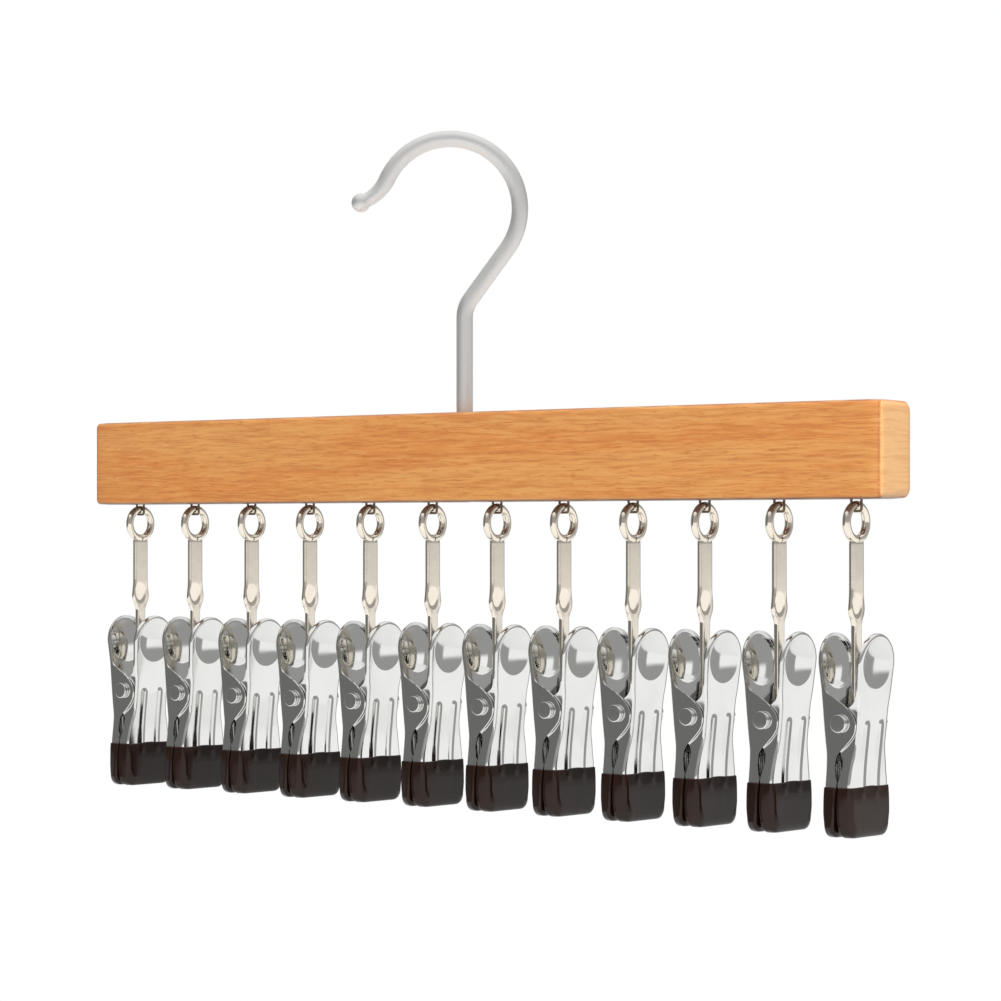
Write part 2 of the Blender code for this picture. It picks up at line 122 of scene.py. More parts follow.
class HangerBarSettings(PropertyGroup):
    """Sizes and colours of the wooden bar."""

    height: length("Height", "Height of the bar", 0.026)
    rounding: length("Edge rounding", "Radius of the front edges", 0.0010)
    back_rounding: length("Back rounding", "Radius of the back edges", 0.0032)
    end_rounding: length("End rounding", "Radius of the corners at the ends, as seen from the front", 0.0018)
    recess_depth: length("Recess depth", "Depth of the nut's recess under the bar", 0.007)
    light: colour("Light wood", "Beech between the dark streaks", "EEA85D")
    middle: colour("Wood", "Main colour of the lacquered beech", "E8964B")
    # Also used for the painted shadow line just in from each end
    dark: colour("Dark streaks", "Streaks and pores of the beech", "C0692A")
    pale: colour("Pale dashes", "Light dashes between the pores", "F0B46A")
    # Painted light: the end faces are painted paler, for the light that falls on them from the right
    end: colour("End grain", "Paler end faces, sanded cross-grain", "F4C183")
    # Darker colour along the long edges; it is also laid over the underside as painted shade
    edge: colour("Edges", "Lacquer gathered along the long edges", "6E3C1A")


class HangerHookSettings(PropertyGroup):
    """Sizes and colours of the hook and of what fastens it."""

    wire: length("Wire", "Diameter of the hook's wire", 0.0048)
    arc_radius: length("Arc radius", "Radius of the hook's arc to the middle of the wire", 0.0203)
    stem_offset: length("Stem offset", "Distance of the stem from the point under the arc's top", 0.0042)
    bend_radius: length("Bend radius", "Radius of the bend above the stem", 0.009)
    tip_radius: length("Tip radius", "Radius of the outward curve at the tip", 0.0132)
    ball: length("Ball", "Diameter of the ball on the tip", 0.0055)
    turn: angle("Turn", "Turn of the hook about its stem", 40.0)
    lean: angle("Lean", "Lean of the run between the bend and the arc", 36.0)
    arc_end: angle("Arc end", "Where the arc ends, from the level", 155.0)
    tip_turn: angle("Tip turn", "How far the tip curves outward", 45.8)
    steel: colour("Steel", "Satin drawn steel", "F2F2F1")
    zinc: colour("Zinc", "Plating of the washer and the nut", "D4D4D2")


class HangerLeverSettings(PropertyGroup):
    """Sizes and colour of the pressed levers."""

    sheet: length("Sheet", "Thickness of the pressed sheet", 0.0006)
    bend: length("Bend", "Outer radius where the sheet turns down", 0.0008)
    rim: length("Rim", "Depth of the turned rim round the thumb end", 0.0012)
    head_width: length("Head width", "Width of the thumb end", 0.0164)
    head_top: length("Head top", "Height of the thumb end above the rivet", 0.0236)
    dish_radius: length("Dish radius", "Radius of the thumb dish", 0.0066)
    dish_depth: length("Dish depth", "Depth of the thumb dish", 0.0011)
    dish_height: length("Dish height", "Height of the dish's middle above the rivet", 0.0157)
    rib_pitch: length("Rib pitch", "Distance between the two ribs", 0.0065)
    rib_width: length("Rib width", "Width of a rib", 0.0034)
    rib_height: length("Rib height", "How far a rib stands out", 0.0003)
    rib_top: length("Rib top", "Height of a rib's upper end above the rivet", 0.0011)
    plate: colour("Plating", "Bright nickel plating", "ECECEA")


class HangerJawSettings(PropertyGroup):
    """Sizes and colour of the dipped jaws."""

    top: length("Top", "Height of the coat's upper edge above the rivet", -0.0165)
    bottom: length("Bottom", "Height of the coat's lower end above the rivet", -0.030)
    face: length("Face", "Distance of the coat's face from the clip's middle", 0.0048)
    gap: length("Gap", "Gap between the closed jaws", 0.0004)
    half_width: length("Half width", "Half the width where the coat is widest", 0.0104)
    lip: length("Lip", "How far the coat's upper edge stands off the metal", 0.0003)
    taper: length("Taper", "How far the sides draw in from the closing face to the outer face", 0.0014)
    coat: colour("Coat", "Soft PVC coat", "22120A")


class HangerStrapSettings(PropertyGroup):
    """Sizes and colours of the straps, rivets, springs and staples."""

    ring_outer: length("Ring", "Outer diameter of the ring", 0.0114)
    ring_wire: length("Ring wire", "Thickness of the ring's wire", 0.0023)
    pin_radius: length("Pin radius", "Radius of the rivet's pin", 0.0013)
    head_radius: length("Rivet head", "Radius of the rivet's heads", 0.0024)
    head_height: length("Rivet head height", "Height of the rivet's heads", 0.0006)
    head_inner: length("Rivet head place", "Distance of a head's inner face from the middle", 0.0083)
    shoulder: length("Rivet shoulder", "Radius of the shoulder between an ear and a head", 0.0019)
    staple_wire: length("Staple wire", "Diameter of the staples' wire", 0.0007)
    spring_wire: length("Spring wire", "Diameter of the springs' wire", 0.0008)
    nickel: colour("Nickel", "Warm nickel plating", "FAF1E2")
    spring: colour("Spring steel", "Bright spring wire", "A9A9AA")
    # Painted shade: the staples are dark brown, standing in for the shade at the top of each ring
    staple: colour("Staples", "Dulled steel wire", "7A6858")


class HangerStudioSettings(PropertyGroup):
    """Camera, floor and light."""

    azimuth: angle("Azimuth", "Turn of the camera about the hanger", 40.0)
    distance: length("Distance", "Distance of the camera along its view", 0.9348)
    side: length("Side", "How far the camera stands to its right", 0.02096)
    height: length("Height", "Height of the camera", -0.1118)
    focal: FloatProperty(name="Focal length", description="Focal length in image pixels", default=3208.9)
    middle_x: FloatProperty(name="Middle x", description="Image x of the camera's axis", default=522.2)
    middle_y: FloatProperty(name="Middle y", description="Image y of the camera's axis", default=531.0)
    floor_drop: length("Floor drop", "Distance of the floor under the hanger", 0.42)
    floor: colour("Floor", "Pale studio floor", "DCDCDA")


GROUPS = {
    "hanger_bar": HangerBarSettings,
    "hanger_hook": HangerHookSettings,
    "hanger_lever": HangerLeverSettings,
    "hanger_jaw": HangerJawSettings,
    "hanger_strap": HangerStrapSettings,
    "hanger_studio": HangerStudioSettings,
}


# Curves and grids of points

def through(places, values, at):
    """Smooth curve through a few points that never swings past them.

    Each stretch is the cubic with the given ends, whose slope at a point is the harmonic mean of the
    straight slopes on its two sides, or zero where these go opposite ways.
    """
    places, values = np.asarray(places, float), np.asarray(values, float)
    if places[0] > places[-1]:
        places, values = places[::-1], values[::-1]
    gaps = np.diff(places)
    straight = np.diff(values) / gaps
    product = straight[:-1] * straight[1:]
    total = straight[:-1] + straight[1:]
    inner = np.where(product > 0, 2 * product / np.where(total == 0, 1.0, total), 0.0)
    slopes = np.concatenate([straight[:1], inner, straight[-1:]])
    at = np.clip(at, places[0], places[-1])
    i = np.clip(np.searchsorted(places, at, side="right") - 1, 0, len(gaps) - 1)
    t = (at - places[i]) / gaps[i]
    start, end = values[i], values[i + 1]
    pull_in, pull_out = slopes[i] * gaps[i], slopes[i + 1] * gaps[i]
    return (
        (2 * t ** 3 - 3 * t ** 2 + 1) * start + (t ** 3 - 2 * t ** 2 + t) * pull_in
        + (3 * t ** 2 - 2 * t ** 3) * end + (t ** 3 - t ** 2) * pull_out
    )


def ease(at, start, end):
    """Smooth step: 0 before start, 1 after end, and 3t^2 - 2t^3 between them."""
    t = np.clip((at - start) / (end - start), 0.0, 1.0)
    return t * t * (3 - 2 * t)


def unit(vectors):
    """Vectors of length one."""
    return vectors / np.maximum(np.linalg.norm(vectors, axis=-1, keepdims=True), 1e-12)


def whole_turn(sides):
    """Angles of the given number of sides round a circle."""
    return np.linspace(0.0, 2 * math.pi, sides, endpoint=False)


def arc(centre, radius, start, end, count):
    """Points centre + radius * (cos a, sin a) for even steps of a."""
    turns = np.linspace(start, end, count)
    return np.stack([centre[0] + radius * np.cos(turns), centre[1] + radius * np.sin(turns)], axis=1)


def soft_corners(corners, cut, steps=6):
    """Path through corners, each one replaced by the curve (1-t)^2 a + 2t(1-t) c + t^2 b, where a and b lie
    a cut away from the corner c on its two sides."""
    corners = np.asarray(corners, float)
    t = np.linspace(0.0, 1.0, steps)[:, None]
    stretches = [corners[:1]]
    for before, corner, after in zip(corners, corners[1:], corners[2:]):
        a = corner + unit(before - corner) * cut
        b = corner + unit(after - corner) * cut
        stretches.append((1 - t) ** 2 * a + 2 * t * (1 - t) * corner + t ** 2 * b)
    stretches.append(corners[-1:])
    return np.concatenate(stretches)


def reach_along(path):
    """Length of a path up to each of its points."""
    return np.concatenate([[0.0], np.cumsum(np.linalg.norm(np.diff(path, axis=0), axis=1))])


def even_steps(path, step):
    """The same path with points a step apart along its length, and that length at each point."""
    reach = reach_along(path)
    keep = np.concatenate([[True], np.diff(reach) > 1e-9])
    at = np.linspace(0.0, reach[-1], max(int(round(reach[-1] / step)), 2) + 1)
    points = np.stack([np.interp(at, reach[keep], path[keep, k]) for k in range(path.shape[1])], axis=1)
    return points, at


def swept(path, across, radius, sides):
    """Grid of a round section carried along a path: p + r cos a * side + r sin a * up, where side is square
    to the path and to across, and up is square to both."""
    along = unit(np.gradient(path, axis=0))
    side = unit(np.cross(along, across))
    up = unit(np.cross(side, along))
    turns = whole_turn(sides)
    radius = np.broadcast_to(radius, (len(path),))[:, None]
    return (
        path[:, None] + (np.cos(turns) * radius)[..., None] * side[:, None]
        + (np.sin(turns) * radius)[..., None] * up[:, None]
    )


def unrolled(reach, radius, sides):
    """Where each point of a round wire would lie if it were straight along Z, for its drawing lines."""
    turns = whole_turn(sides)
    radius = np.broadcast_to(radius, (len(reach),))[:, None]
    flat = np.broadcast_arrays(radius * np.cos(turns), radius * np.sin(turns), reach[:, None])
    return np.stack(flat, axis=-1)


def turned(profile, sides, origin=(0.0, 0.0, 0.0), axis="Z"):
    """Grid of a turned solid: (r cos a, r sin a, h) for each (r, h) of the profile, about Z or about Y."""
    turns = whole_turn(sides)
    radius, height = profile[:, 0, None], profile[:, 1, None]
    x, y = radius * np.cos(turns), radius * np.sin(turns)
    height = np.broadcast_to(height, x.shape)
    points = np.stack([x, y, height] if axis == "Z" else [x, height, -y], axis=-1)
    return points + np.asarray(origin)


def perimeter(across, along):
    """Points round the square from -1 to 1, with the given counts on its sides. They draw nearer to each
    other near the corners, by t + 0.15 sin(pi t)."""
    def spread(count):
        t = np.linspace(-1.0, 1.0, count, endpoint=False)
        return t + 0.15 * np.sin(math.pi * t)

    up, over = spread(along), spread(across)
    ones_up, ones_over = np.ones(along), np.ones(across)
    return np.concatenate([
        np.stack([ones_up, up], 1), np.stack([-over, ones_over], 1),
        np.stack([-ones_up, -up], 1), np.stack([over, -ones_over], 1),
    ])


def rounded_box(points, half, radius):
    """Box points with their edges rounded: q + R * unit((p - q) / R), where q is p moved inside the box that
    is smaller by the radii R."""
    inner = half - radius
    core = np.clip(points, -inner, inner)
    return core + radius * unit((points - core) / radius)


def box_rows(around, along, cap):
    """Rows of the unit box: rings that grow on the low cap, then along the length, then shrink on the high
    cap. Gives the length coordinate and the size of each row's ring."""
    grow = np.linspace(0.0, 1.0, cap, endpoint=False)
    place = np.concatenate([-np.ones(cap), along, np.ones(cap)])
    size = np.concatenate([grow, np.ones(len(along)), grow[::-1]])
    return place[:, None], size[:, None, None] * around[None]


def with_poles(grid):
    """Grid with its two open ends drawn together at their middles, which closes them."""
    ends = [np.broadcast_to(row.mean(axis=0), row.shape)[None] for row in (grid[0], grid[-1])]
    return np.concatenate([ends[0], grid, ends[1]])


# Meshes and objects

# Points nearer to each other than the first are merged, and faces thinner than the second taken out
MERGE_WITHIN, THIN_BELOW = 0.002 * MM, 0.001 * MM

# Degrees between faces from which an edge shows as sharp: on pressed, turned and cut pieces, and on wire
SHARP_EDGE, SHARP_ON_WIRE = 35.0, 60.0


def grid_faces(rows, columns, round_columns):
    """Corner numbers of the quads between neighbouring points; a round grid's last column meets its first."""
    row = np.arange(rows - 1)[:, None]
    column = np.arange(columns if round_columns else columns - 1)[None]
    after = (column + 1) % columns
    corners = np.broadcast_arrays(
        row * columns + column, row * columns + after,
        (row + 1) * columns + after, (row + 1) * columns + column,
    )
    return np.stack(corners, axis=-1).reshape(-1, 4)


def closed_mesh(name, grids, sharp=SHARP_EDGE, straight=None):
    """Mesh from (grid, round) pairs: doubles merged, faces turned outward, sharp edges marked. A straight
    grid is kept as the attribute that drawing lines follow."""
    points = np.concatenate([grid.reshape(-1, 3) for grid, _ in grids])
    faces, first = [], 0
    for grid, round_columns in grids:
        faces.append(grid_faces(grid.shape[0], grid.shape[1], round_columns) + first)
        first += grid.shape[0] * grid.shape[1]
    mesh = bpy.data.meshes.new(name)
    mesh.from_pydata(points.tolist(), [], np.concatenate(faces).tolist())
    if straight is not None:
        layer = mesh.attributes.new("straight", "FLOAT_VECTOR", "POINT")
        layer.data.foreach_set("vector", straight.reshape(-1).astype(np.float32))
    return finished(mesh, sharp)


def finished(mesh, sharp):
    """The mesh with doubles merged, flat faces gone, faces outward, and smooth between sharp edges."""
    bm = bmesh.new()
    bm.from_mesh(mesh)
    bmesh.ops.remove_doubles(bm, verts=bm.verts, dist=MERGE_WITHIN)
    bmesh.ops.dissolve_degenerate(bm, edges=bm.edges, dist=THIN_BELOW)
    bmesh.ops.recalc_face_normals(bm, faces=bm.faces)
    bm.to_mesh(mesh)
    bm.free()
    mesh.shade_smooth()
    mesh.set_sharp_from_angle(angle=math.radians(sharp))
    return mesh


def wire_mesh(name, path, reach, across, radius, sides, thinner=1.0):
    """Round wire along a path, closed at both ends, with the attribute that its drawing lines follow. A
    thinner wire keeps the lines of the whole one."""
    grid = with_poles(swept(path, across, thinner * radius, sides))
    return closed_mesh(name, [(grid, True)], SHARP_ON_WIRE, with_poles(unrolled(reach, radius, sides)))


def cut_away(mesh, cutter):
    """The mesh less a cutter, worked out at once with an exact Boolean."""
    body = bpy.data.objects.new("body", mesh)
    tool = bpy.data.objects.new("tool", cutter)
    for thing in (body, tool):
        bpy.context.scene.collection.objects.link(thing)
    modifier = body.modifiers.new("cut", "BOOLEAN")
    modifier.operation = "DIFFERENCE"
    modifier.solver = "EXACT"
    modifier.object = tool
    evaluated = body.evaluated_get(bpy.context.evaluated_depsgraph_get())
    result = bpy.data.meshes.new_from_object(evaluated)
    for thing in (body, tool):
        bpy.data.objects.remove(thing)
    bpy.data.meshes.remove(cutter)
    return finished(result, SHARP_EDGE)


def add_piece(name, mesh, material, body, place, node):
    """Object that holds a copy of a mesh moved to its place, rides on a body and stands for a CAD node."""
    copy = mesh.copy()
    copy.name = name
    copy.transform(Matrix.Translation(place))
    copy.materials.clear()
    copy.materials.append(material)
    piece = bpy.data.objects.new(name, copy)
    bpy.context.scene.collection.objects.link(piece)
    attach(piece, body)
    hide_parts(node)


# Shader nodes

# Sockets of the colour Mix node, which has one set for each data type
MIX_FIRST, MIX_SECOND, MIX_RESULT = 6, 7, 2


def feed(tree, node, inputs):
    """Give a node's inputs their values, or link them to the outputs that they come from."""
    for name, value in inputs.items():
        if isinstance(value, bpy.types.NodeSocket):
            tree.links.new(value, node.inputs[name])
        else:
            node.inputs[name].default_value = value


def add_node(tree, kind, settings=None, inputs=None):
    """Shader node with its settings; an input is a value, or the output that is linked to it."""
    node = tree.nodes.new("ShaderNode" + kind)
    for name, value in (settings or {}).items():
        setattr(node, name, value)
    feed(tree, node, inputs or {})
    return node


def start_material(name):
    """Material, the tree to add its nodes to, and its Principled shader."""
    material = bpy.data.materials.new(name)
    material.use_nodes = True
    return material, material.node_tree, material.node_tree.nodes["Principled BSDF"]


def opaque(rgb, share=1.0):
    """A share of a colour, with full alpha."""
    return (*(share * c for c in rgb), 1.0)


# Grains of the beech: how long they are along X, Y and Z in mm, the seed and the detail of their noise. Real
# pores are 0.1 mm wide and rays 0.3 mm, too fine to show, so they are drawn coarser.
BEECH_GRAINS = {
    "patches": ((90.0, 3.0, 7.0), 1.7, 2.0),
    "streaks": ((40.0, 3.0, 1.5), 4.1, 3.0),
    "fibres": ((10.0, 2.5, 0.5), 7.3, 2.0),
    "pores": ((4.0, 2.5, 0.4), 9.9, 1.0),
    "rays": ((3.0, 12.0, 0.8), 12.3, 2.0),
}

# Tones that follow a grain: which one, where in its noise the tone starts and is full, its largest share,
# and how it goes between
BEECH_TONES = {
    "light": ("patches", 0.32, 0.70, 1.00, "SMOOTHSTEP"),
    "streaks": ("streaks", 0.46, 0.68, 0.34, "LINEAR"),
    "fibres": ("fibres", 0.50, 0.66, 0.40, "LINEAR"),
    "pores": ("pores", 0.60, 0.68, 0.48, "LINEAR"),
    "pale": ("fibres", 0.46, 0.34, 0.50, "LINEAR"),
    "rays": ("rays", 0.45, 0.65, 0.32, "LINEAR"),
}

# Tones that follow the bar's faces: the axis that meets the face, the distances from it in mm at which the
# tone starts and is full, and its largest share
BEECH_MARGINS = {
    "top_and_bottom": ("Z", 0.70, 0.10, 0.8),
    "front_and_back": ("Y", 1.00, 0.30, 1.0),
    # end: painted light, the end faces made paler for the light that falls on them
    "end": ("X", 0.75, 0.45, 0.8),
    # This, less end, gives a painted shadow line: a dark band just in from each end
    "end_and_rim": ("X", 1.70, 1.10, 0.5),
}

# Painted shade low on the bar, in the edge colour: the heights over its underside at which it starts and is
# full,
# # and its largest share
UNDERSIDE_SHADE = (0.3 * MM, 0.05 * MM, 0.85)

# The grain's slow waves up and down: how many there are in a metre, and how high they go
BEECH_WAVES_PER_METRE, BEECH_WAVE_HEIGHT = 110.0, 0.9 * MM


def lacquered_beech(settings):
    """Beech, planed, sanded and lacquered: broad patches of light and dark wood, streaks, and short dashes of
    fibres and pores, all drawn out along the bar. The ends are painted paler, as painted light, and show the
    rays as soft level lines, with a painted shadow line just in from each end. The long edges are darker,
    and their brown also lies over the underside as painted shade. A thin clear coat leaves a soft shine."""
    material, tree, shader = start_material("lacquered_beech")
    place = add_node(tree, "TexCoord").outputs["Object"]
    drift = add_node(tree, "TexNoise", {}, {
        "Vector": place, "Scale": BEECH_WAVES_PER_METRE, "Detail": 1.0,
    }).outputs["Fac"]
    wavy = add_node(tree, "VectorMath", {"operation": "MULTIPLY_ADD"}, {
        0: drift, 1: (0.0, 0.0, BEECH_WAVE_HEIGHT), 2: place,
    }).outputs["Vector"]
    grains, shares = {}, {}
    for name, (sizes, seed, detail) in BEECH_GRAINS.items():
        mapping = add_node(tree, "Mapping", {}, {
            "Vector": wavy, "Scale": [1.0 / (size * MM) for size in sizes],
            "Location": (seed, 2 * seed, 3 * seed),
        })
        grains[name] = add_node(tree, "TexNoise", {}, {
            "Vector": mapping.outputs["Vector"], "Scale": 1.0, "Detail": detail, "Roughness": 0.6,
        }).outputs["Fac"]
    for name, (grain, start, full, most, way) in BEECH_TONES.items():
        shares[name] = add_node(tree, "MapRange", {"interpolation_type": way}, {
            "Value": grains[grain], "From Min": start, "From Max": full, "To Max": most,
        }).outputs["Result"]

    from_middle = add_node(tree, "VectorMath", {"operation": "SUBTRACT"}, {0: place, 1: tuple(SWIVEL)})
    away = add_node(tree, "VectorMath", {"operation": "ABSOLUTE"}, {0: from_middle.outputs["Vector"]})
    away = add_node(tree, "SeparateXYZ", {}, {"Vector": away.outputs["Vector"]})
    halves = {"X": BAR_LENGTH / 2, "Y": BAR_DEPTH / 2, "Z": settings.height / 2}
    for name, (axis, start, full, most) in BEECH_MARGINS.items():
        shares[name] = add_node(tree, "MapRange", {"interpolation_type": "SMOOTHSTEP"}, {
            "Value": away.outputs[axis], "From Min": halves[axis] - start * MM,
            "From Max": halves[axis] - full * MM, "To Max": most,
        }).outputs["Result"]
    height = add_node(tree, "SeparateXYZ", {}, {"Vector": from_middle.outputs["Vector"]}).outputs["Z"]
    start, full, most = UNDERSIDE_SHADE
    shares["underside"] = add_node(tree, "MapRange", {}, {
        "Value": height, "From Min": start - halves["Z"], "From Max": full - halves["Z"], "To Max": most,
    }).outputs["Result"]
    for name, how, first, second in (
        ("long_edges", "MULTIPLY", "top_and_bottom", "front_and_back"),
        ("rays_on_end", "MULTIPLY", "end", "rays"),
        ("end_rim", "SUBTRACT", "end_and_rim", "end"),
    ):
        shares[name] = add_node(tree, "Math", {"operation": how}, {
            0: shares[first], 1: shares[second],
        }).outputs[0]

    shade = opaque(settings.middle)
    # The underside gets painted shade, a band just in from each end a painted shadow line, and the end faces
    # painted light
    for name, tone in (
        ("light", settings.light), ("underside", settings.edge), ("end_rim", settings.dark),
        ("long_edges", settings.edge), ("streaks", settings.dark), ("fibres", settings.dark),
        ("pores", settings.dark), ("pale", settings.pale), ("end", settings.end),
        ("rays_on_end", settings.dark),
    ):
        shade = add_node(tree, "Mix", {"data_type": "RGBA"}, {
            0: shares[name], MIX_FIRST: shade, MIX_SECOND: opaque(tone),
        }).outputs[MIX_RESULT]
    rough = add_node(tree, "MapRange", {}, {"Value": grains["fibres"], "To Min": 0.34, "To Max": 0.48})
    bump = add_node(tree, "Bump", {}, {"Strength": 0.25, "Distance": 0.08 * MM, "Height": grains["fibres"]})
    feed(tree, shader, {
        "Base Color": shade, "Roughness": rough.outputs["Result"], "Normal": bump.outputs["Normal"],
        "IOR": 1.5, "Coat Weight": 1.0, "Coat Roughness": 0.3,
    })
    return material


# Drawing lines are this many times as long as they lie apart. Handling marks: how many there are in a metre,
# and how much they count beside the lines.
LINE_LENGTH = 60.0
MARKS_PER_METRE, MARKS_WEIGHT = 90.0, 0.6


def drawn_steel(name, rgb, roughness, line_pitch, line_depth):
    """Steel wire pulled through a die: fine lines along the wire that stretch its highlights along it, and
    slow changes of sheen from handling. The lines follow the straight attribute. Real ones are about
    0.05 mm apart, too fine to show, so each wire gets a wider pitch."""
    material, tree, shader = start_material(name)
    wire = add_node(tree, "Attribute", {"attribute_name": "straight"}).outputs["Vector"]
    lines = add_node(tree, "Mapping", {}, {
        "Vector": wire, "Scale": (1 / line_pitch, 1 / line_pitch, 1 / (LINE_LENGTH * line_pitch)),
    }).outputs["Vector"]
    noise = add_node(tree, "TexNoise", {}, {"Vector": lines, "Scale": 1.0, "Detail": 3.0}).outputs["Fac"]
    place = add_node(tree, "TexCoord").outputs["Object"]
    marks = add_node(tree, "TexNoise", {}, {"Vector": place, "Scale": MARKS_PER_METRE, "Detail": 3.0})
    both = add_node(tree, "Math", {"operation": "MULTIPLY_ADD"}, {
        0: marks.outputs["Fac"], 1: MARKS_WEIGHT, 2: noise,
    }).outputs[0]
    rough = add_node(tree, "MapRange", {}, {
        "Value": both, "From Min": 0.55, "From Max": 1.05,
        "To Min": roughness - 0.06, "To Max": roughness + 0.08,
    })
    bump = add_node(tree, "Bump", {}, {"Strength": 0.6, "Distance": line_depth, "Height": noise})
    feed(tree, shader, {
        "Base Color": opaque(rgb), "Metallic": 1.0, "Roughness": rough.outputs["Result"],
        "Normal": bump.outputs["Normal"],
    })
    return material


# Rubbed patches of a plating: how fine they are beside the press's waves, how much rougher than the rest,
# how light their tone is beside the plating's, and the largest share of it that they mix in
RUBBED_SCALE, RUBBED_ROUGHER, RUBBED_TONE, RUBBED_SHARE = 0.5, 0.10, 0.7, 0.12


def plated_steel(name, rgb, roughness, wave, wave_depth):
    """Pressed or turned steel, barrel polished and then plated: a mirror a little unquiet from the press,
    with faint rubbed patches that dull it here and there."""
    material, tree, shader = start_material(name)
    place = add_node(tree, "TexCoord").outputs["Object"]
    waves = add_node(tree, "TexNoise", {}, {"Vector": place, "Scale": 1 / wave, "Detail": 1.0})
    rubbed = add_node(tree, "TexNoise", {}, {
        "Vector": place, "Scale": RUBBED_SCALE / wave, "Detail": 5.0,
    }).outputs["Fac"]
    rough = add_node(tree, "MapRange", {}, {
        "Value": rubbed, "From Min": 0.4, "From Max": 0.75, "To Min": roughness,
        "To Max": roughness + RUBBED_ROUGHER,
    })
    share = add_node(tree, "MapRange", {}, {
        "Value": rubbed, "From Min": 0.35, "From Max": 0.75, "To Max": RUBBED_SHARE,
    })
    shade = add_node(tree, "Mix", {"data_type": "RGBA"}, {
        0: share.outputs["Result"], MIX_FIRST: opaque(rgb), MIX_SECOND: opaque(rgb, RUBBED_TONE),
    }).outputs[MIX_RESULT]
    bump = add_node(tree, "Bump", {}, {
        "Strength": 0.5, "Distance": wave_depth, "Height": waves.outputs["Fac"],
    })
    feed(tree, shader, {
        "Base Color": shade, "Metallic": 1.0, "Roughness": rough.outputs["Result"],
        "Normal": bump.outputs["Normal"],
    })
    return material


# Orange peel and runs of the coat, in a metre. Real peel is 0.5 mm wide, too fine to show, so it is drawn at
# 1.1 mm. The runs are 4 mm wide and 17 mm long, three times as high as the peel, and lighter by a factor.
PEEL_PER_METRE, RUNS_PER_METRE, RUN_HEIGHT, RUN_LIGHTER = 900.0, (260.0, 260.0, 60.0), 3.0, 1.3


def dipped_pvc(settings):
    """Soft PVC plastisol, dipped hot and cured: a dark brown skin with a satin shine, slightly uneven like
    orange peel, with slow runs down its faces."""
    material, tree, shader = start_material("dipped_pvc")
    place = add_node(tree, "TexCoord").outputs["Object"]
    peel = add_node(tree, "TexNoise", {}, {
        "Vector": place, "Scale": PEEL_PER_METRE, "Detail": 2.0,
    }).outputs["Fac"]
    mapping = add_node(tree, "Mapping", {}, {"Vector": place, "Scale": RUNS_PER_METRE})
    runs = add_node(tree, "TexNoise", {}, {
        "Vector": mapping.outputs["Vector"], "Scale": 1.0, "Detail": 2.0,
    }).outputs["Fac"]
    height = add_node(tree, "Math", {"operation": "MULTIPLY_ADD"}, {
        0: runs, 1: RUN_HEIGHT, 2: peel,
    }).outputs[0]
    bump = add_node(tree, "Bump", {}, {"Strength": 0.35, "Distance": 0.06 * MM, "Height": height})
    rough = add_node(tree, "MapRange", {}, {"Value": runs, "To Min": 0.12, "To Max": 0.24})
    share = add_node(tree, "MapRange", {}, {"Value": runs, "From Min": 0.35, "From Max": 0.70})
    shade = add_node(tree, "Mix", {"data_type": "RGBA"}, {
        0: share.outputs["Result"], MIX_FIRST: opaque(settings.coat),
        MIX_SECOND: opaque(settings.coat, RUN_LIGHTER),
    }).outputs[MIX_RESULT]
    feed(tree, shader, {
        "Base Color": shade, "Roughness": rough.outputs["Result"], "Normal": bump.outputs["Normal"],
        "IOR": 1.4,
    })
    return material


# Bar, hook and what fastens it

# Clearance of what turns on the stem, and how far the bar's corners take to round off towards its ends
STEM_CLEARANCE = 0.3 * MM
CORNER_FADE = 5 * MM


def stem_bore():
    """Radius of the holes that the hook's stem turns in."""
    return bpy.context.scene.hanger_hook.wire / 2 + STEM_CLEARANCE


def bar_mesh(settings):
    """Rounded box about the swivel, its back edges rounder than its front ones, and its corners rounder
    towards the ends, less the stem's bore and the round recess for the washer and nut."""
    half = np.array([BAR_LENGTH, BAR_DEPTH, settings.height]) / 2
    near_ends = 1.0 - np.array([0.0, 0.1, 0.25, 0.45, 0.7, 1.0]) * settings.rounding / half[0]
    along = np.unique(np.concatenate([np.linspace(-1.0, 1.0, 61), near_ends, -near_ends]))
    place, ring = box_rows(perimeter(22, 34), along, 12)
    x = np.broadcast_to(place * half[0], ring.shape[:2])
    points = np.stack([x, ring[..., 0] * half[1], ring[..., 1] * half[2]], axis=-1)
    back = ease(points[..., 1], -half[1] / 2, half[1] / 2)[..., None]
    edges = settings.rounding + (settings.back_rounding - settings.rounding) * back
    at_end = ease(np.abs(points[..., :1]), half[0] - CORNER_FADE, half[0] - MM)
    corners = np.maximum(edges, settings.rounding + (settings.end_rounding - settings.rounding) * at_end)
    radius = np.concatenate([np.full_like(back, settings.end_rounding), edges, corners], axis=-1)
    solid = rounded_box(points, half, radius)
    solid += np.array([SWIVEL[0], SWIVEL[1], BAR_TOP - settings.height / 2])
    bar = closed_mesh("bar", [(solid, True)])

    underside = BAR_TOP - settings.height
    bore, recess, ceiling = stem_bore(), WASHER_RADIUS + STEM_CLEARANCE, underside + settings.recess_depth
    profile = np.array([
        (0.0, underside - MM), (recess, underside - MM), (recess, ceiling), (bore, ceiling),
        (bore, BAR_TOP + MM), (0.0, BAR_TOP + MM),
    ])
    return cut_away(bar, closed_mesh("cutter", [(turned(profile, 48, (SWIVEL[0], SWIVEL[1], 0.0)), True)]))


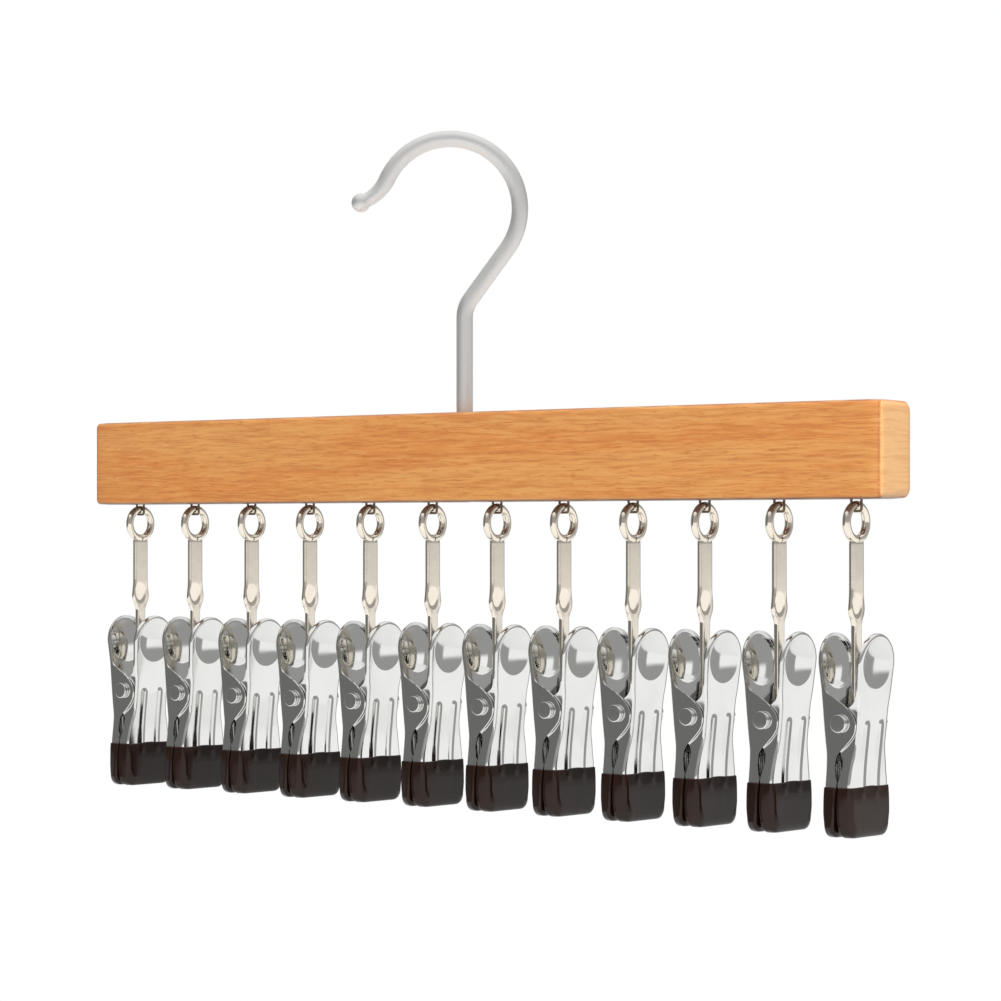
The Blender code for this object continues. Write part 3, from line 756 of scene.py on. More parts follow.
def hook_path(settings):
    """Middle line of the hook in its own plane: stem, bend, leaning run, arc and outward tip."""
    centre = (0.0, settings.wire / 2 - settings.arc_radius)
    lean = settings.lean
    run_x = settings.arc_radius * math.cos(lean)
    run_z = centre[1] - settings.arc_radius * math.sin(lean)
    bend_z = run_z - (run_x - settings.stem_offset) / math.tan(lean)
    bend_centre = (
        settings.stem_offset + settings.bend_radius, bend_z - settings.bend_radius * math.tan(lean / 2),
    )
    stem_foot = BAR_TOP - bpy.context.scene.hanger_bar.height + MM
    outward = np.array([math.cos(settings.arc_end), math.sin(settings.arc_end)])
    tip_centre = np.array(centre) + (settings.arc_radius + settings.tip_radius) * outward
    tip_start = settings.arc_end + math.pi
    return np.concatenate([
        [(settings.stem_offset, stem_foot)],
        arc(bend_centre, settings.bend_radius, math.pi, math.pi - lean, 16),
        arc(centre, settings.arc_radius, -lean, settings.arc_end, 90),
        arc(tip_centre, settings.tip_radius, tip_start, tip_start - settings.tip_turn, 24)[1:],
    ])


# The wire is drawn thinner by a share over the last stretch before the ball
NECK_THINNER, NECK_LENGTH = 0.12, 9 * MM


def hook_mesh(settings):
    """Wire along the hook's line, whose radius r grows into a ball at the tip: r^2 = ball^2 - reach^2."""
    flat, reach = even_steps(hook_path(settings), 0.7 * MM)
    wire, ball = settings.wire / 2, settings.ball / 2
    neck = math.asin((1.0 - NECK_THINNER) * wire / ball)
    turns = np.linspace(neck, math.pi, 14)
    way = unit(flat[-1] - flat[-4])
    flat = np.concatenate([flat[:-4], flat[-1] - ball * np.cos(turns)[:, None] * way])
    reach = reach_along(flat)
    stem = reach[:-len(turns)]
    thin = 1.0 - NECK_THINNER * ease(stem, stem[-1] - NECK_LENGTH, stem[-1])
    radius = np.concatenate([wire * thin, ball * np.sin(turns)])
    level = np.array([math.cos(settings.turn), math.sin(settings.turn), 0.0])
    path = flat[:, :1] * level + flat[:, 1:] * np.array([0.0, 0.0, 1.0])
    return wire_mesh("hook", path, reach, np.cross(level, (0.0, 0.0, 1.0)), radius, 40)


def washer_mesh():
    """Turned ring with small worn edges."""
    bore = stem_bore()
    corners = [
        (WASHER_RADIUS, WASHER_LOW), (WASHER_RADIUS, WASHER_HIGH), (bore, WASHER_HIGH), (bore, WASHER_LOW),
    ]
    middle = (np.array(corners[0]) + np.array(corners[3])) / 2
    profile = soft_corners([middle, *corners, middle], 0.12 * MM, 4)
    return closed_mesh("hook_washer", [(turned(profile, 64, (SWIVEL[0], SWIVEL[1], 0.0)), True)])


# Run of the cone that rounds a nut's corners, for each step down from its face
NUT_CONE = 1.7


def nut_mesh():
    """Hexagon nut: flat / cos(a) over each sixth, cut by a cone at its two faces that rounds the corners."""
    bore, turns = stem_bore(), whole_turn(96)
    sixth = (turns + math.pi / 6) % (math.pi / 3) - math.pi / 6
    turns = turns + math.pi / 6
    heights = np.linspace(NUT_LOW, NUT_HIGH, 15)
    cone = NUT_HALF_WIDTH + NUT_CONE * np.minimum(heights - NUT_LOW, NUT_HIGH - heights)[:, None]
    side = np.minimum((NUT_HALF_WIDTH / np.cos(sixth))[None], cone)
    bore_rows = np.full((3, len(turns)), bore)
    radius = np.concatenate([bore_rows[:1], side, bore_rows[1:]])
    height = np.concatenate([[NUT_LOW], heights, [NUT_HIGH, NUT_LOW]])[:, None] + np.zeros((1, len(turns)))
    grid = np.stack([SWIVEL[0] + radius * np.cos(turns), SWIVEL[1] + radius * np.sin(turns), height], axis=-1)
    return closed_mesh("hook_nut", [(grid, True)])


# Strap, rivet, spring and staple, about the rivet's middle

# Half the slit between the two ends of the ring
RING_SLIT = 0.28 * MM

# The strap's section in mm: first the depth under the ring's lowest point of its middle line, and further
# down the height above the rivet, each with half the width and half the thickness there
STRAP_AT_RING = np.array([(0.0, 2.6, 0.6), (0.5, 2.75, 0.75), (1.2, 2.8, 0.8)])
STRAP_BELOW = np.array([
    (35.5, 2.8, 0.8), (34.0, 2.85, 0.8), (32.0, 3.1, 0.8), (30.0, 3.3, 0.8), (28.4, 2.95, 0.8),
    (27.2, 2.25, 0.8), (26.2, 1.8, 0.8), (25.4, 1.6, 0.8), (12.0, 1.6, 0.8), (1.0, 1.6, 0.8),
])

# Rounding of the strap's long edges: on the tongue, how much more on the shank, over which heights this
# comes, and the most beside half the strap's thickness
TONGUE_ROUNDING, SHANK_ROUNDER, ROUNDER_COMES, MOST_ROUNDING = 0.45 * MM, 0.3 * MM, (24 * MM, 34 * MM), 0.95

# Where the strap spreads: height of each face's crown, and over which heights it comes and goes
CROWN = 0.12 * MM
CROWN_COMES, CROWN_GOES = (26 * MM, 28.5 * MM), (31.5 * MM, 34.6 * MM)

# The punch's mark: its middle across the strap and above the rivet, its half sizes, the share of these over
# which it is full, and its depths at two heights
MARK_MIDDLE, MARK_HALF, MARK_FULL = (-0.75 * MM, 31.0 * MM), (2.35 * MM, 3.5 * MM), 0.72
MARK_HEIGHTS, MARK_DEPTHS = [27.0 * MM, 34.4 * MM], [0.34 * MM, 0.0]

# Radius and place along the rivet of the knuckle's corners
KNUCKLE = np.array([(0.0, -1.6), (1.85, -1.6), (2.0, -1.45), (2.0, 1.45), (1.85, 1.6), (0.0, 1.6)]) * MM

# Play between the outer ears and a rivet's shoulder, and how much is cut off its corners
EAR_PLAY, RIVET_CORNER = 0.1 * MM, 0.28 * MM


def strap_mesh(settings):
    """Ring of round wire whose two ends nearly meet on the flat shank, then the swaged spread, the neck and
    the tongue down to the knuckle on the rivet. The ring lies in the plane across the bar.

    The shank's section is a box with rounded edges whose half sizes follow curves of the height. Where it
    spreads, each face has a low crown c(z) (y / half width)^2 and the punch's mark, an oval that goes deeper
    towards its lower end.
    """
    ring = (settings.ring_outer - settings.ring_wire) / 2
    slit = RING_SLIT / ring
    loop = arc((0.0, RING_ABOVE_PIN), ring, slit - math.pi / 2, 1.5 * math.pi - slit, 120)
    path = np.stack([np.zeros(len(loop)), loop[:, 0], loop[:, 1]], axis=1)
    loop_grid = with_poles(swept(path, (1.0, 0.0, 0.0), settings.ring_wire / 2, 28))

    top = (RING_ABOVE_PIN - ring) / MM
    heights = np.concatenate([top - STRAP_AT_RING[:, 0], STRAP_BELOW[:, 0]]) * MM
    widths, depths = (np.concatenate([STRAP_AT_RING[:, k], STRAP_BELOW[:, k]]) * MM for k in (1, 2))
    z = np.linspace(heights[0], heights[-1], 220)
    around = perimeter(10, 30)
    half_x, half_y = through(heights, depths, z)[:, None], through(heights, widths, z)[:, None]
    flat_points = np.stack([around[None, :, 0] * half_x, around[None, :, 1] * half_y], axis=-1)
    rounding = TONGUE_ROUNDING + SHANK_ROUNDER * ease(z, *ROUNDER_COMES)[:, None]
    soft = np.minimum(MOST_ROUNDING * half_x, rounding)[..., None]
    section = rounded_box(flat_points, np.stack([half_x, half_y], axis=-1), soft)
    across, height = section[..., 1], np.broadcast_to(z[:, None], section.shape[:2])
    crown = CROWN * (ease(z, *CROWN_COMES) * (1.0 - ease(z, *CROWN_GOES)))[:, None]
    reach = np.hypot((across - MARK_MIDDLE[0]) / MARK_HALF[0], (height - MARK_MIDDLE[1]) / MARK_HALF[1])
    mark = np.interp(height, MARK_HEIGHTS, MARK_DEPTHS) * (1.0 - ease(reach, MARK_FULL, 1.0))
    inward = (mark + crown * (across / half_y) ** 2) * np.clip(section[..., 0] / half_x, -1.0, 1.0)
    lofted = np.stack([section[..., 0] - inward, across, height], axis=-1)
    return closed_mesh("strap", [
        (loop_grid, True), (with_poles(lofted), True), (turned(KNUCKLE, 40, axis="Y"), True),
    ], sharp=50.0)


def rivet_mesh(settings):
    """Turned rivet through both levers: pin, and at each end a shoulder and a flat head with a soft rim."""
    inner, outer = settings.head_inner, settings.head_inner + settings.head_height
    head, pin, shoulder = settings.head_radius, settings.pin_radius, settings.shoulder
    ear = OUTER_EAR * MM + EAR_PLAY
    half = soft_corners([
        (pin, 0.0), (pin, ear), (shoulder, ear), (shoulder, inner),
        (head, inner), (head, outer), (0.0, outer),
    ], RIVET_CORNER)[1:]
    profile = np.concatenate([half[::-1] * np.array([1.0, -1.0]), half])
    return closed_mesh("rivet", [(turned(profile, 48, axis="Y"), True)], sharp=40.0)


# The spring's coil: its play on the pin, its two ends along the rivet, and its whole turns between them
COIL_PLAY, COIL_FIRST, COIL_LAST, COIL_TURNS = 0.3 * MM, 2.3 * MM, 5.55 * MM, 2

# Each arm's corner inside its lever, and how far its tip lies from there
ARM_X, ARM_Z = 4.75 * MM, 8.6 * MM
ARM_TIP_RIGHT, ARM_TIP_LEFT = np.array([0.35, -1.1, 0.6]) * MM, np.array([-0.35, 0.5, 0.6]) * MM

# How far an arm lies in the coil's wire, and how much thinner it is so that their skins don't meet
ARM_OVERLAP, ARM_THINNER = math.radians(25.0), 0.99


def spring_parts(settings):
    """Torsion spring on the rivet: a coil, and two arms that go up inside the levers.

    The coil is the helix (r cos a, y, r sin a). Each arm starts on the coil's last turn and leaves it on the
    tangent, so that it can turn with its lever about the rivet.
    """
    wire = settings.spring_wire / 2
    radius = settings.pin_radius + COIL_PLAY + wire
    lean = math.atan2(ARM_X - radius, ARM_Z)
    start, total = -lean, -(math.pi - 2 * lean + 2 * math.pi * COIL_TURNS)

    def helix(share):
        turn = start + total * share
        y = COIL_FIRST + (COIL_LAST - COIL_FIRST) * share
        return np.stack([radius * np.cos(turn), y, radius * np.sin(turn)], axis=1)

    overlap = ARM_OVERLAP / abs(total)
    right_corner, left_corner = np.array([[ARM_X, COIL_FIRST, ARM_Z]]), np.array([[-ARM_X, COIL_LAST, ARM_Z]])
    paths = {
        "spring_coil": (helix(np.linspace(0.0, 1.0, 160)), 1.0),
        "spring_right": (np.concatenate([
            right_corner + ARM_TIP_RIGHT, right_corner, helix(np.linspace(0.0, overlap, 8)),
        ]), ARM_THINNER),
        "spring_left": (np.concatenate([
            helix(np.linspace(1.0 - overlap, 1.0, 8)), left_corner, left_corner + ARM_TIP_LEFT,
        ]), ARM_THINNER),
    }
    return [
        wire_mesh(name, *even_steps(path, 0.25 * MM), (0.0, 1.0, 0.0), wire, 16, thin)
        for name, (path, thin) in paths.items()
    ]


# Clearance between a staple and its ring, how deep its legs go into the bar, and the cut of its corners
STAPLE_CLEARANCE, STAPLE_IN_BAR, STAPLE_CORNER = 0.1 * MM, 1.5 * MM, 0.7 * MM


def staple_mesh(settings):
    """Wire staple with two soft corners, driven up into the bar, about the ring's middle."""
    wire = settings.staple_wire / 2
    leg = settings.ring_wire / 2 + STAPLE_CLEARANCE + wire
    rest = settings.ring_outer / 2 - settings.ring_wire - STAPLE_CLEARANCE - wire
    top = BAR_TOP - bpy.context.scene.hanger_bar.height - RING_CENTRE + STAPLE_IN_BAR
    flat = soft_corners([(-leg, top), (-leg, rest), (leg, rest), (leg, top)], STAPLE_CORNER, 10)
    flat, reach = even_steps(flat, 0.2 * MM)
    path = np.stack([flat[:, 0], np.zeros(len(flat)), flat[:, 1]], axis=1)
    return wire_mesh("staple", path, reach, (0.0, 1.0, 0.0), wire, 20)


# Levers and their dipped jaws, about the rivet's middle; the right lever faces +X

# Side view of a lever: distance of its face from the middle plane, by height. Its foot ends inside the coat.
FACE_HEIGHTS = np.array([-30.0, -16.5, 0.0, 15.4, 24.0]) * MM
FACE_PLACES = np.array([4.0, 4.0, 5.45, 6.85, 7.63]) * MM
LEVER_FOOT = -25.5 * MM

# Play of a lever's hole on the pin, and how far the tool that cuts it reaches past the ears
HOLE_PLAY, HOLE_REACH = 0.2 * MM, 12 * MM

# Half width in mm over the left lever's ears, which lie outside the right one's
OUTER_EAR = 7.7

# Half width of a lever, and where its flange ends, from the clip's middle plane towards the lever's own face:
# heights, then the values at them, for the left lever and for the right one
LEFT_WIDTHS = np.array([
    (-30.0, -16.3, -14.0, -11.0, -7.6, 8.6, 11.0, 15.4),
    (7.6, 9.05, 8.75, 8.2, OUTER_EAR, OUTER_EAR, 7.85, 8.2),
]) * MM
LEFT_TIPS = np.array([
    (-30.0, -19.5, -16.3, -13.5, -11.0, -9.2, -7.6, -5.9, -3.5,
     -1.9, -0.2, 1.5, 3.25, 5.1, 6.6, 8.2, 10.0, 15.4),
    (1.9, 1.9, 0.2, 0.75, 1.2, 1.1, 0.2, -1.5, -3.7,
     -4.55, -4.75, -4.25, -2.9, -0.7, 1.9, 4.4, 5.15, 5.65),
]) * MM
RIGHT_WIDTHS = np.array([
    (-30.0, -16.3, -12.5, -10.0, -7.6, -5.0, 0.0, 2.0, 4.4, 6.0, 8.0, 11.0, 15.4),
    (7.6, 9.05, 8.45, 7.9, 7.25, 6.87, 6.85, 6.87, 7.03, 7.3, 7.6, 7.85, 8.2),
]) * MM
RIGHT_TIPS = np.array([
    (-30.0, -19.5, -16.3, -13.5, -11.0, -9.2, -7.6, -5.0, -2.5,
     0.0, 1.2, 2.4, 3.4, 4.4, 5.4, 6.6, 8.5, 15.4),
    (1.9, 1.9, 0.2, 0.75, 1.2, 1.0, 0.1, -2.3, -3.7,
     -3.9, -2.9, -1.2, 0.7, 2.6, 3.9, 4.6, 5.1, 5.65),
]) * MM

# Heights between which the ribs run out under the coat, and the crown across a lever's face: its height at
# the given distance from the middle
RIB_END, RIB_FULL = -21.0 * MM, -16.5 * MM
FACE_CROWN, FACE_CROWN_AT = 0.03 * MM, 8.0 * MM


def rib_height(settings, y, z):
    """Height of the two ribs: h cos^2(pi d / 2w), where d is the distance from the rib's middle line, or
    from that line's upper end. They run out under the jaw's coat."""
    above = np.maximum(z - (settings.rib_top - settings.rib_width / 2), 0.0)
    away = np.hypot(np.abs(y) - settings.rib_pitch / 2, above)
    share = np.clip(away / (settings.rib_width / 2), 0.0, 1.0)
    return settings.rib_height * np.cos(math.pi / 2 * share) ** 2 * ease(z, RIB_END, RIB_FULL)


def face_place(settings, y, z):
    """Where a lever's face lies at a point (y, z): the side view's line, less a low crown across, less the
    thumb dish d (1 - r^2 / R^2), plus the ribs."""
    crown = FACE_CROWN * (y / FACE_CROWN_AT) ** 2
    away = np.hypot(y, z - settings.dish_height) / settings.dish_radius
    dish = settings.dish_depth * np.clip(1.0 - away ** 2, 0.0, 1.0)
    return through(FACE_HEIGHTS, FACE_PLACES, z) - crown - dish + rib_height(settings, y, z)


def lever_grid(settings, widths, tips, inset):
    """Outer or inset surface of a lever, from one flange's edge over the face to the other's.

    Rows go round the thumb end, by even angles, and then down. In each row the face runs to a bend radius
    short of the outline, the bend is a quarter circle, and the flange goes straight back to its edge.
    """
    head = settings.head_width / 2
    head_z = settings.head_top - head
    turns = np.linspace(math.pi / 2, 0.0, 22, endpoint=False)
    down = np.linspace(head_z, LEVER_FOOT, 108)
    outline_y = np.concatenate([head * np.cos(turns), through(*widths, down)])
    outline_z = np.concatenate([head_z + head * np.sin(turns), down])
    way_y = np.concatenate([np.cos(turns), np.ones(len(down))])
    way_z = np.concatenate([np.sin(turns), np.zeros(len(down))])
    inner_y, inner_z = outline_y - settings.bend * way_y, outline_z - settings.bend * way_z

    y = inner_y[:, None] * np.linspace(-1.0, 1.0, 49)
    z = inner_z[:, None] + np.zeros_like(y)
    face = np.stack([face_place(settings, y, z) - inset, y, z], axis=-1)

    edge = face_place(settings, inner_y, inner_z)
    radius = settings.bend - inset
    bend = np.linspace(0.0, math.pi / 2, 6)[1:]
    bend_x = edge[:, None] - settings.bend + radius * np.cos(bend)
    tip = np.minimum(through(*tips, outline_z), edge - settings.rim)
    tip[:len(turns)] = edge[:len(turns)] - settings.rim
    wall = np.linspace(0.0, 1.0, 8)[1:]
    wall_x = edge[:, None] - settings.bend + (tip - edge + settings.bend)[:, None] * wall
    out = np.concatenate([radius * np.sin(bend), np.full(len(wall), radius)])
    side_x = np.concatenate([bend_x, wall_x], axis=1)
    side_y = inner_y[:, None] + way_y[:, None] * out
    side_z = inner_z[:, None] + way_z[:, None] * out
    right = np.stack([side_x, side_y, side_z], axis=-1)
    left = right[:, ::-1] * np.array([1.0, -1.0, 1.0])
    return np.concatenate([left, face, right], axis=1)


def lever_mesh(settings, name, widths, tips, side):
    """Pressed sheet lever, with the rivet's hole through its ears. Side is 1 where it faces +X and else -1.

    One closed grid goes out over the outer surface, round the edge and back over the same surface set back
    by the sheet's thickness, and a strip closes its foot.
    """
    facing = np.array([side, 1.0, 1.0])
    outer = lever_grid(settings, widths, tips, 0.0) * facing
    inner = lever_grid(settings, widths, tips, settings.sheet) * facing
    sheet, foot = np.concatenate([outer, inner[:, ::-1]], axis=1), np.stack([outer[-1], inner[-1]])
    mesh = closed_mesh(name, [(sheet, True), (foot, False)])
    hole = bpy.context.scene.hanger_strap.pin_radius + HOLE_PLAY
    profile = np.array([(0.0, -HOLE_REACH), (hole, -HOLE_REACH), (hole, HOLE_REACH), (0.0, HOLE_REACH)])
    return cut_away(mesh, closed_mesh("hole", [(turned(profile, 40, axis="Y"), True)]))


# Roundings of the coat in mm, each with what its lower half adds: of the sides towards the clip's faces, of
# the corners across, and of the upper and lower ends
COAT_ROUNDINGS = ((0.95, 0.45), (1.2, 2.1), (0.4, 2.6))

# How a coat swells from its lip to its full size, by the depth under its upper edge
SWELL_DEPTHS = np.array([0.0, 0.8, 2.0, 3.5, 5.5, 9.0, 13.5]) * MM
SWELL_SHARES = [0.0, 0.22, 0.52, 0.80, 0.95, 1.0, 1.0]

# The coat's upper edge: how high its wave is, how long, and over which heights it comes
EDGE_WAVE, EDGE_WAVE_LENGTH, EDGE_WAVE_HEIGHTS = 0.2 * MM, 13.0 * MM, (-18.0 * MM, -16.6 * MM)

# Heights between which the ribs come to show through the coat
RIBS_SHOW = (-22.0 * MM, -18.0 * MM)


def dip_mesh(settings, name, side):
    """Soft coat on a jaw: a box with rounded edges, its lower corners rounder, that swells from a thin lip
    at its top to its full width, with the ribs showing through at the top of its face."""
    along = np.concatenate([
        np.linspace(-1.0, -0.4, 16), np.linspace(-0.4, 0.8, 24)[1:], np.linspace(0.8, 1.0, 8)[1:],
    ])
    place, ring = box_rows(perimeter(12, 48), along, 8)
    inner = settings.gap / 2
    full = settings.face - inner
    half = np.array([full / 2, settings.half_width, (settings.top - settings.bottom) / 2])
    z = np.broadcast_to(place * half[2], ring.shape[:2])
    points = np.stack([ring[..., 0] * half[0], ring[..., 1] * half[1], z], axis=-1)
    low, at_end = ease(-z, 0.0, 0.75 * half[2]), ease(-z, 0.0, MM)
    radius = np.stack([
        least * MM + more * MM * share for (least, more), share in zip(COAT_ROUNDINGS, (low, low, at_end))
    ], axis=-1)
    solid = rounded_box(points, half, radius)
    x, y, z = solid[..., 0] + half[0], solid[..., 1], solid[..., 2] + (settings.top + settings.bottom) / 2

    metal_face, metal_side = FACE_PLACES[1] + settings.lip, LEFT_WIDTHS[1, 1] + settings.lip
    swell = through(SWELL_DEPTHS, SWELL_SHARES, settings.top - z)
    y = y * (metal_side + (settings.half_width - metal_side) * swell) / settings.half_width
    y = y * (1.0 - settings.taper * swell * np.clip(x / full, 0.0, 1.0) / settings.half_width)
    x = inner + x * (metal_face - inner + (settings.face - metal_face) * swell) / full
    front = np.clip(2 * (x - inner) / full - 1.0, 0.0, 1.0)
    shows = rib_height(bpy.context.scene.hanger_lever, y, z) * ease(z, *RIBS_SHOW)
    wave = EDGE_WAVE * np.cos(2 * math.pi * y / EDGE_WAVE_LENGTH) * ease(z, *EDGE_WAVE_HEIGHTS)
    solid = np.stack([side * (x + front * shows), y, z + front * wave], axis=-1)
    return closed_mesh(name, [(solid, True)], sharp=60.0)


# Studio

FLOOR_RADIUS = 2.2

# The floor's own colour for matt things is this share of it, and this share of the floor glows
FLOOR_BOUNCE, FLOOR_GLOW = 0.04, 0.75

# Parts of the studio round the hanger: azimuth and elevation of the middle in degrees, and the cosines from
# there at which its edge starts and is full
STUDIO_PARTS = {
    "under the horizon": (0.0, -90.0, -0.04, 0.06),
    "right half": (-30.0, 0.0, -0.03, 0.03),
    "overhead": (0.0, 90.0, 0.40, 0.80),
    "dark card": (-134.0, 5.0, 0.80, 0.88),
    "sky": (0.0, 90.0, -0.6, 0.7),
}

# Greys of the studio: its walls, its light overhead, its white and its dark card, and for matt things the
# light from below and from above
WALLS, OVERHEAD, WHITE_CARD, DARK_CARD = 0.34, 0.95, 1.0, 0.16
LIGHT_BELOW, LIGHT_ABOVE = 0.12, 0.8

# Softboxes: where each stands, the length of its side, and its power in watts
SOFTBOXES = {
    "softbox_right": ((1.5, -0.3, 0.6), 1.0, 20.0),
    "softbox_front": ((0.1, -1.7, 0.4), 1.2, 16.0),
}
LIT_PLACE = (0.0, 0.0, -0.11)


def grey(value):
    """Grey with full alpha."""
    return opaque((value, value, value))


def floor_mesh(radius, height):
    """Flat disc with rings of points."""
    reach = np.linspace(0.0, radius, 9)[:, None]
    turns = whole_turn(96)
    grid = np.stack(np.broadcast_arrays(
        reach * np.cos(turns), reach * np.sin(turns), np.float64(height),
    ), axis=-1)
    mesh = closed_mesh("floor", [(grid, True)])
    if mesh.polygons[0].normal.z < 0:
        mesh.flip_normals()
    return mesh


def painted_floor(settings):
    """Matt white paint on board: most of it glows white for the camera and for mirrors, so that it reads as a
    white page, and the rest takes the soft shadow. It throws little light back up at the hanger."""
    material, tree, shader = start_material("painted_floor")
    place = add_node(tree, "TexCoord").outputs["Object"]
    noise = add_node(tree, "TexNoise", {}, {"Vector": place, "Scale": 4.0, "Detail": 2.0}).outputs["Fac"]
    rough = add_node(tree, "MapRange", {}, {"Value": noise, "To Min": 0.85, "To Max": 0.95})
    path = add_node(tree, "LightPath")
    shade = add_node(tree, "Mix", {"data_type": "RGBA"}, {
        0: path.outputs["Is Diffuse Ray"], MIX_FIRST: opaque(settings.floor),
        MIX_SECOND: opaque(settings.floor, FLOOR_BOUNCE),
    }).outputs[MIX_RESULT]
    feed(tree, shader, {"Base Color": shade, "Roughness": rough.outputs["Result"]})
    seen = path.outputs["Is Camera Ray"]
    for ray in ("Is Transmission Ray", "Is Glossy Ray"):
        seen = add_node(tree, "Math", {"operation": "MAXIMUM"}, {0: seen, 1: path.outputs[ray]}).outputs[0]
    glow = add_node(tree, "Emission", {}, {"Color": grey(1.0), "Strength": 1.0})
    share = add_node(tree, "Math", {"operation": "MULTIPLY"}, {0: seen, 1: FLOOR_GLOW}).outputs[0]
    mix = add_node(tree, "MixShader", {}, {0: share, 1: shader.outputs[0], 2: glow.outputs[0]})
    tree.links.new(mix.outputs[0], tree.nodes["Material Output"].inputs["Surface"])
    return material


def studio_world():
    """White page for the camera, plain light from above and below for matt things, and for mirrors a studio:
    a white card low on the right, from the front round to behind, mid grey elsewhere, lighter overhead, and a
    dark card in front on the left."""
    world = bpy.data.worlds.new("studio")
    world.use_nodes = True
    tree = world.node_tree
    tree.nodes.clear()
    way = add_node(tree, "TexCoord").outputs["Generated"]
    shares = {}
    for name, (azimuth, elevation, start, full) in STUDIO_PARTS.items():
        a, e = math.radians(azimuth), math.radians(elevation)
        aim = (math.cos(a) * math.cos(e), math.sin(a) * math.cos(e), math.sin(e))
        dot = add_node(tree, "VectorMath", {"operation": "DOT_PRODUCT"}, {0: way, 1: aim}).outputs["Value"]
        shares[name] = add_node(tree, "MapRange", {"interpolation_type": "SMOOTHSTEP"}, {
            "Value": dot, "From Min": start, "From Max": full,
        }).outputs["Result"]
    path = add_node(tree, "LightPath")
    for name, how, first, second in (
        ("white card", "MULTIPLY", shares["right half"], shares["under the horizon"]),
        ("page", "MAXIMUM", path.outputs["Is Camera Ray"], path.outputs["Is Transmission Ray"]),
    ):
        shares[name] = add_node(tree, "Math", {"operation": how}, {0: first, 1: second}).outputs[0]

    mirror = grey(WALLS)
    for name, tone in (("overhead", OVERHEAD), ("white card", WHITE_CARD), ("dark card", DARK_CARD)):
        mirror = add_node(tree, "Mix", {"data_type": "RGBA"}, {
            0: shares[name], MIX_FIRST: mirror, MIX_SECOND: grey(tone),
        }).outputs[MIX_RESULT]
    shade = grey(LIGHT_BELOW)
    for share, tone in (
        (shares["sky"], grey(LIGHT_ABOVE)), (path.outputs["Is Glossy Ray"], mirror),
        (shares["page"], grey(1.0)),
    ):
        shade = add_node(tree, "Mix", {"data_type": "RGBA"}, {
            0: share, MIX_FIRST: shade, MIX_SECOND: tone,
        }).outputs[MIX_RESULT]
    background = add_node(tree, "Background", {}, {"Color": shade, "Strength": 1.0})
    output = add_node(tree, "OutputWorld")
    tree.links.new(background.outputs[0], output.inputs["Surface"])
    return world


def add_softbox(name, place, size, power):
    """Square area lamp that looks at the hanger and doesn't show in mirrors."""
    data = bpy.data.lights.new(name, "AREA")
    data.shape = "SQUARE"
    data.size = size
    data.energy = power
    lamp = bpy.data.objects.new(name, data)
    lamp.location = place
    lamp.rotation_mode = "QUATERNION"
    lamp.rotation_quaternion = (Vector(LIT_PLACE) - Vector(place)).to_track_quat("-Z", "Y")
    lamp.visible_glossy = False
    lamp.visible_camera = False
    bpy.context.scene.collection.objects.link(lamp)


# Operators

class HANGER_OT_studio(Operator):
    """Make the camera, the floor, the world and the lamps."""

    bl_idname = "hanger.studio"
    bl_label = "Studio"

    def execute(self, context):
        settings = context.scene.hanger_studio
        turn = settings.azimuth
        look = Vector((-math.sin(turn), math.cos(turn), 0.0))
        right = Vector((math.cos(turn), math.sin(turn), 0.0))
        data = bpy.data.cameras.new("camera")
        data.sensor_width = 36.0
        data.lens = settings.focal / IMAGE_SIZE * data.sensor_width
        data.shift_x = (IMAGE_SIZE / 2 - settings.middle_x) / IMAGE_SIZE
        data.shift_y = (settings.middle_y - IMAGE_SIZE / 2) / IMAGE_SIZE
        data.clip_start = 0.01
        camera = bpy.data.objects.new("camera", data)
        place = right * settings.side - look * settings.distance
        camera.location = place + Vector((0.0, 0.0, settings.height))
        camera.rotation_mode = "QUATERNION"
        camera.rotation_quaternion = look.to_track_quat("-Z", "Y")
        context.scene.collection.objects.link(camera)
        context.scene.camera = camera
        context.scene.view_settings.view_transform = "Standard"
        context.scene.world = studio_world()

        floor = bpy.data.objects.new("floor", floor_mesh(FLOOR_RADIUS, CAD_BOX[0].z - settings.floor_drop))
        floor.data.materials.append(painted_floor(settings))
        context.scene.collection.objects.link(floor)
        for name, (place, size, power) in SOFTBOXES.items():
            add_softbox(name, place, size, power)
        return {"FINISHED"}


class HANGER_OT_bar(Operator):
    """Make the wooden bar."""

    bl_idname = "hanger.bar"
    bl_label = "Bar"

    def execute(self, context):
        settings = context.scene.hanger_bar
        wood = lacquered_beech(settings)
        add_piece("wooden_bar", bar_mesh(settings), wood, "bar_body", (0.0, 0.0, 0.0), "bar")
        return {"FINISHED"}


class HANGER_OT_hook(Operator):
    """Make the hook, and the washer and nut that hold it in the bar."""

    bl_idname = "hanger.hook"
    bl_label = "Hook"

    def execute(self, context):
        settings = context.scene.hanger_hook
        # Drawn steel wire, brushed satin: a broad soft shine that runs along the wire
        steel = drawn_steel("satin_drawn_steel", settings.steel, 0.58, 0.9 * MM, 0.003 * MM)
        # Turned steel, zinc plated: a cool grey with soft, slightly cloudy reflections
        zinc = plated_steel("bright_zinc", settings.zinc, 0.28, 3 * MM, 0.01 * MM)
        for name, mesh, material, body, slot, node in (
            ("wire_hook", hook_mesh(settings), steel, "hook_body", "hook_steel", "hook"),
            ("washer", washer_mesh(), zinc, "bar_body", "zinc", "hook_washer"),
            ("nut", nut_mesh(), zinc, "bar_body", "zinc", "hook_nut"),
        ):
            add_piece(name, mesh, material, body, (0.0, 0.0, 0.0), node)
        return {"FINISHED"}


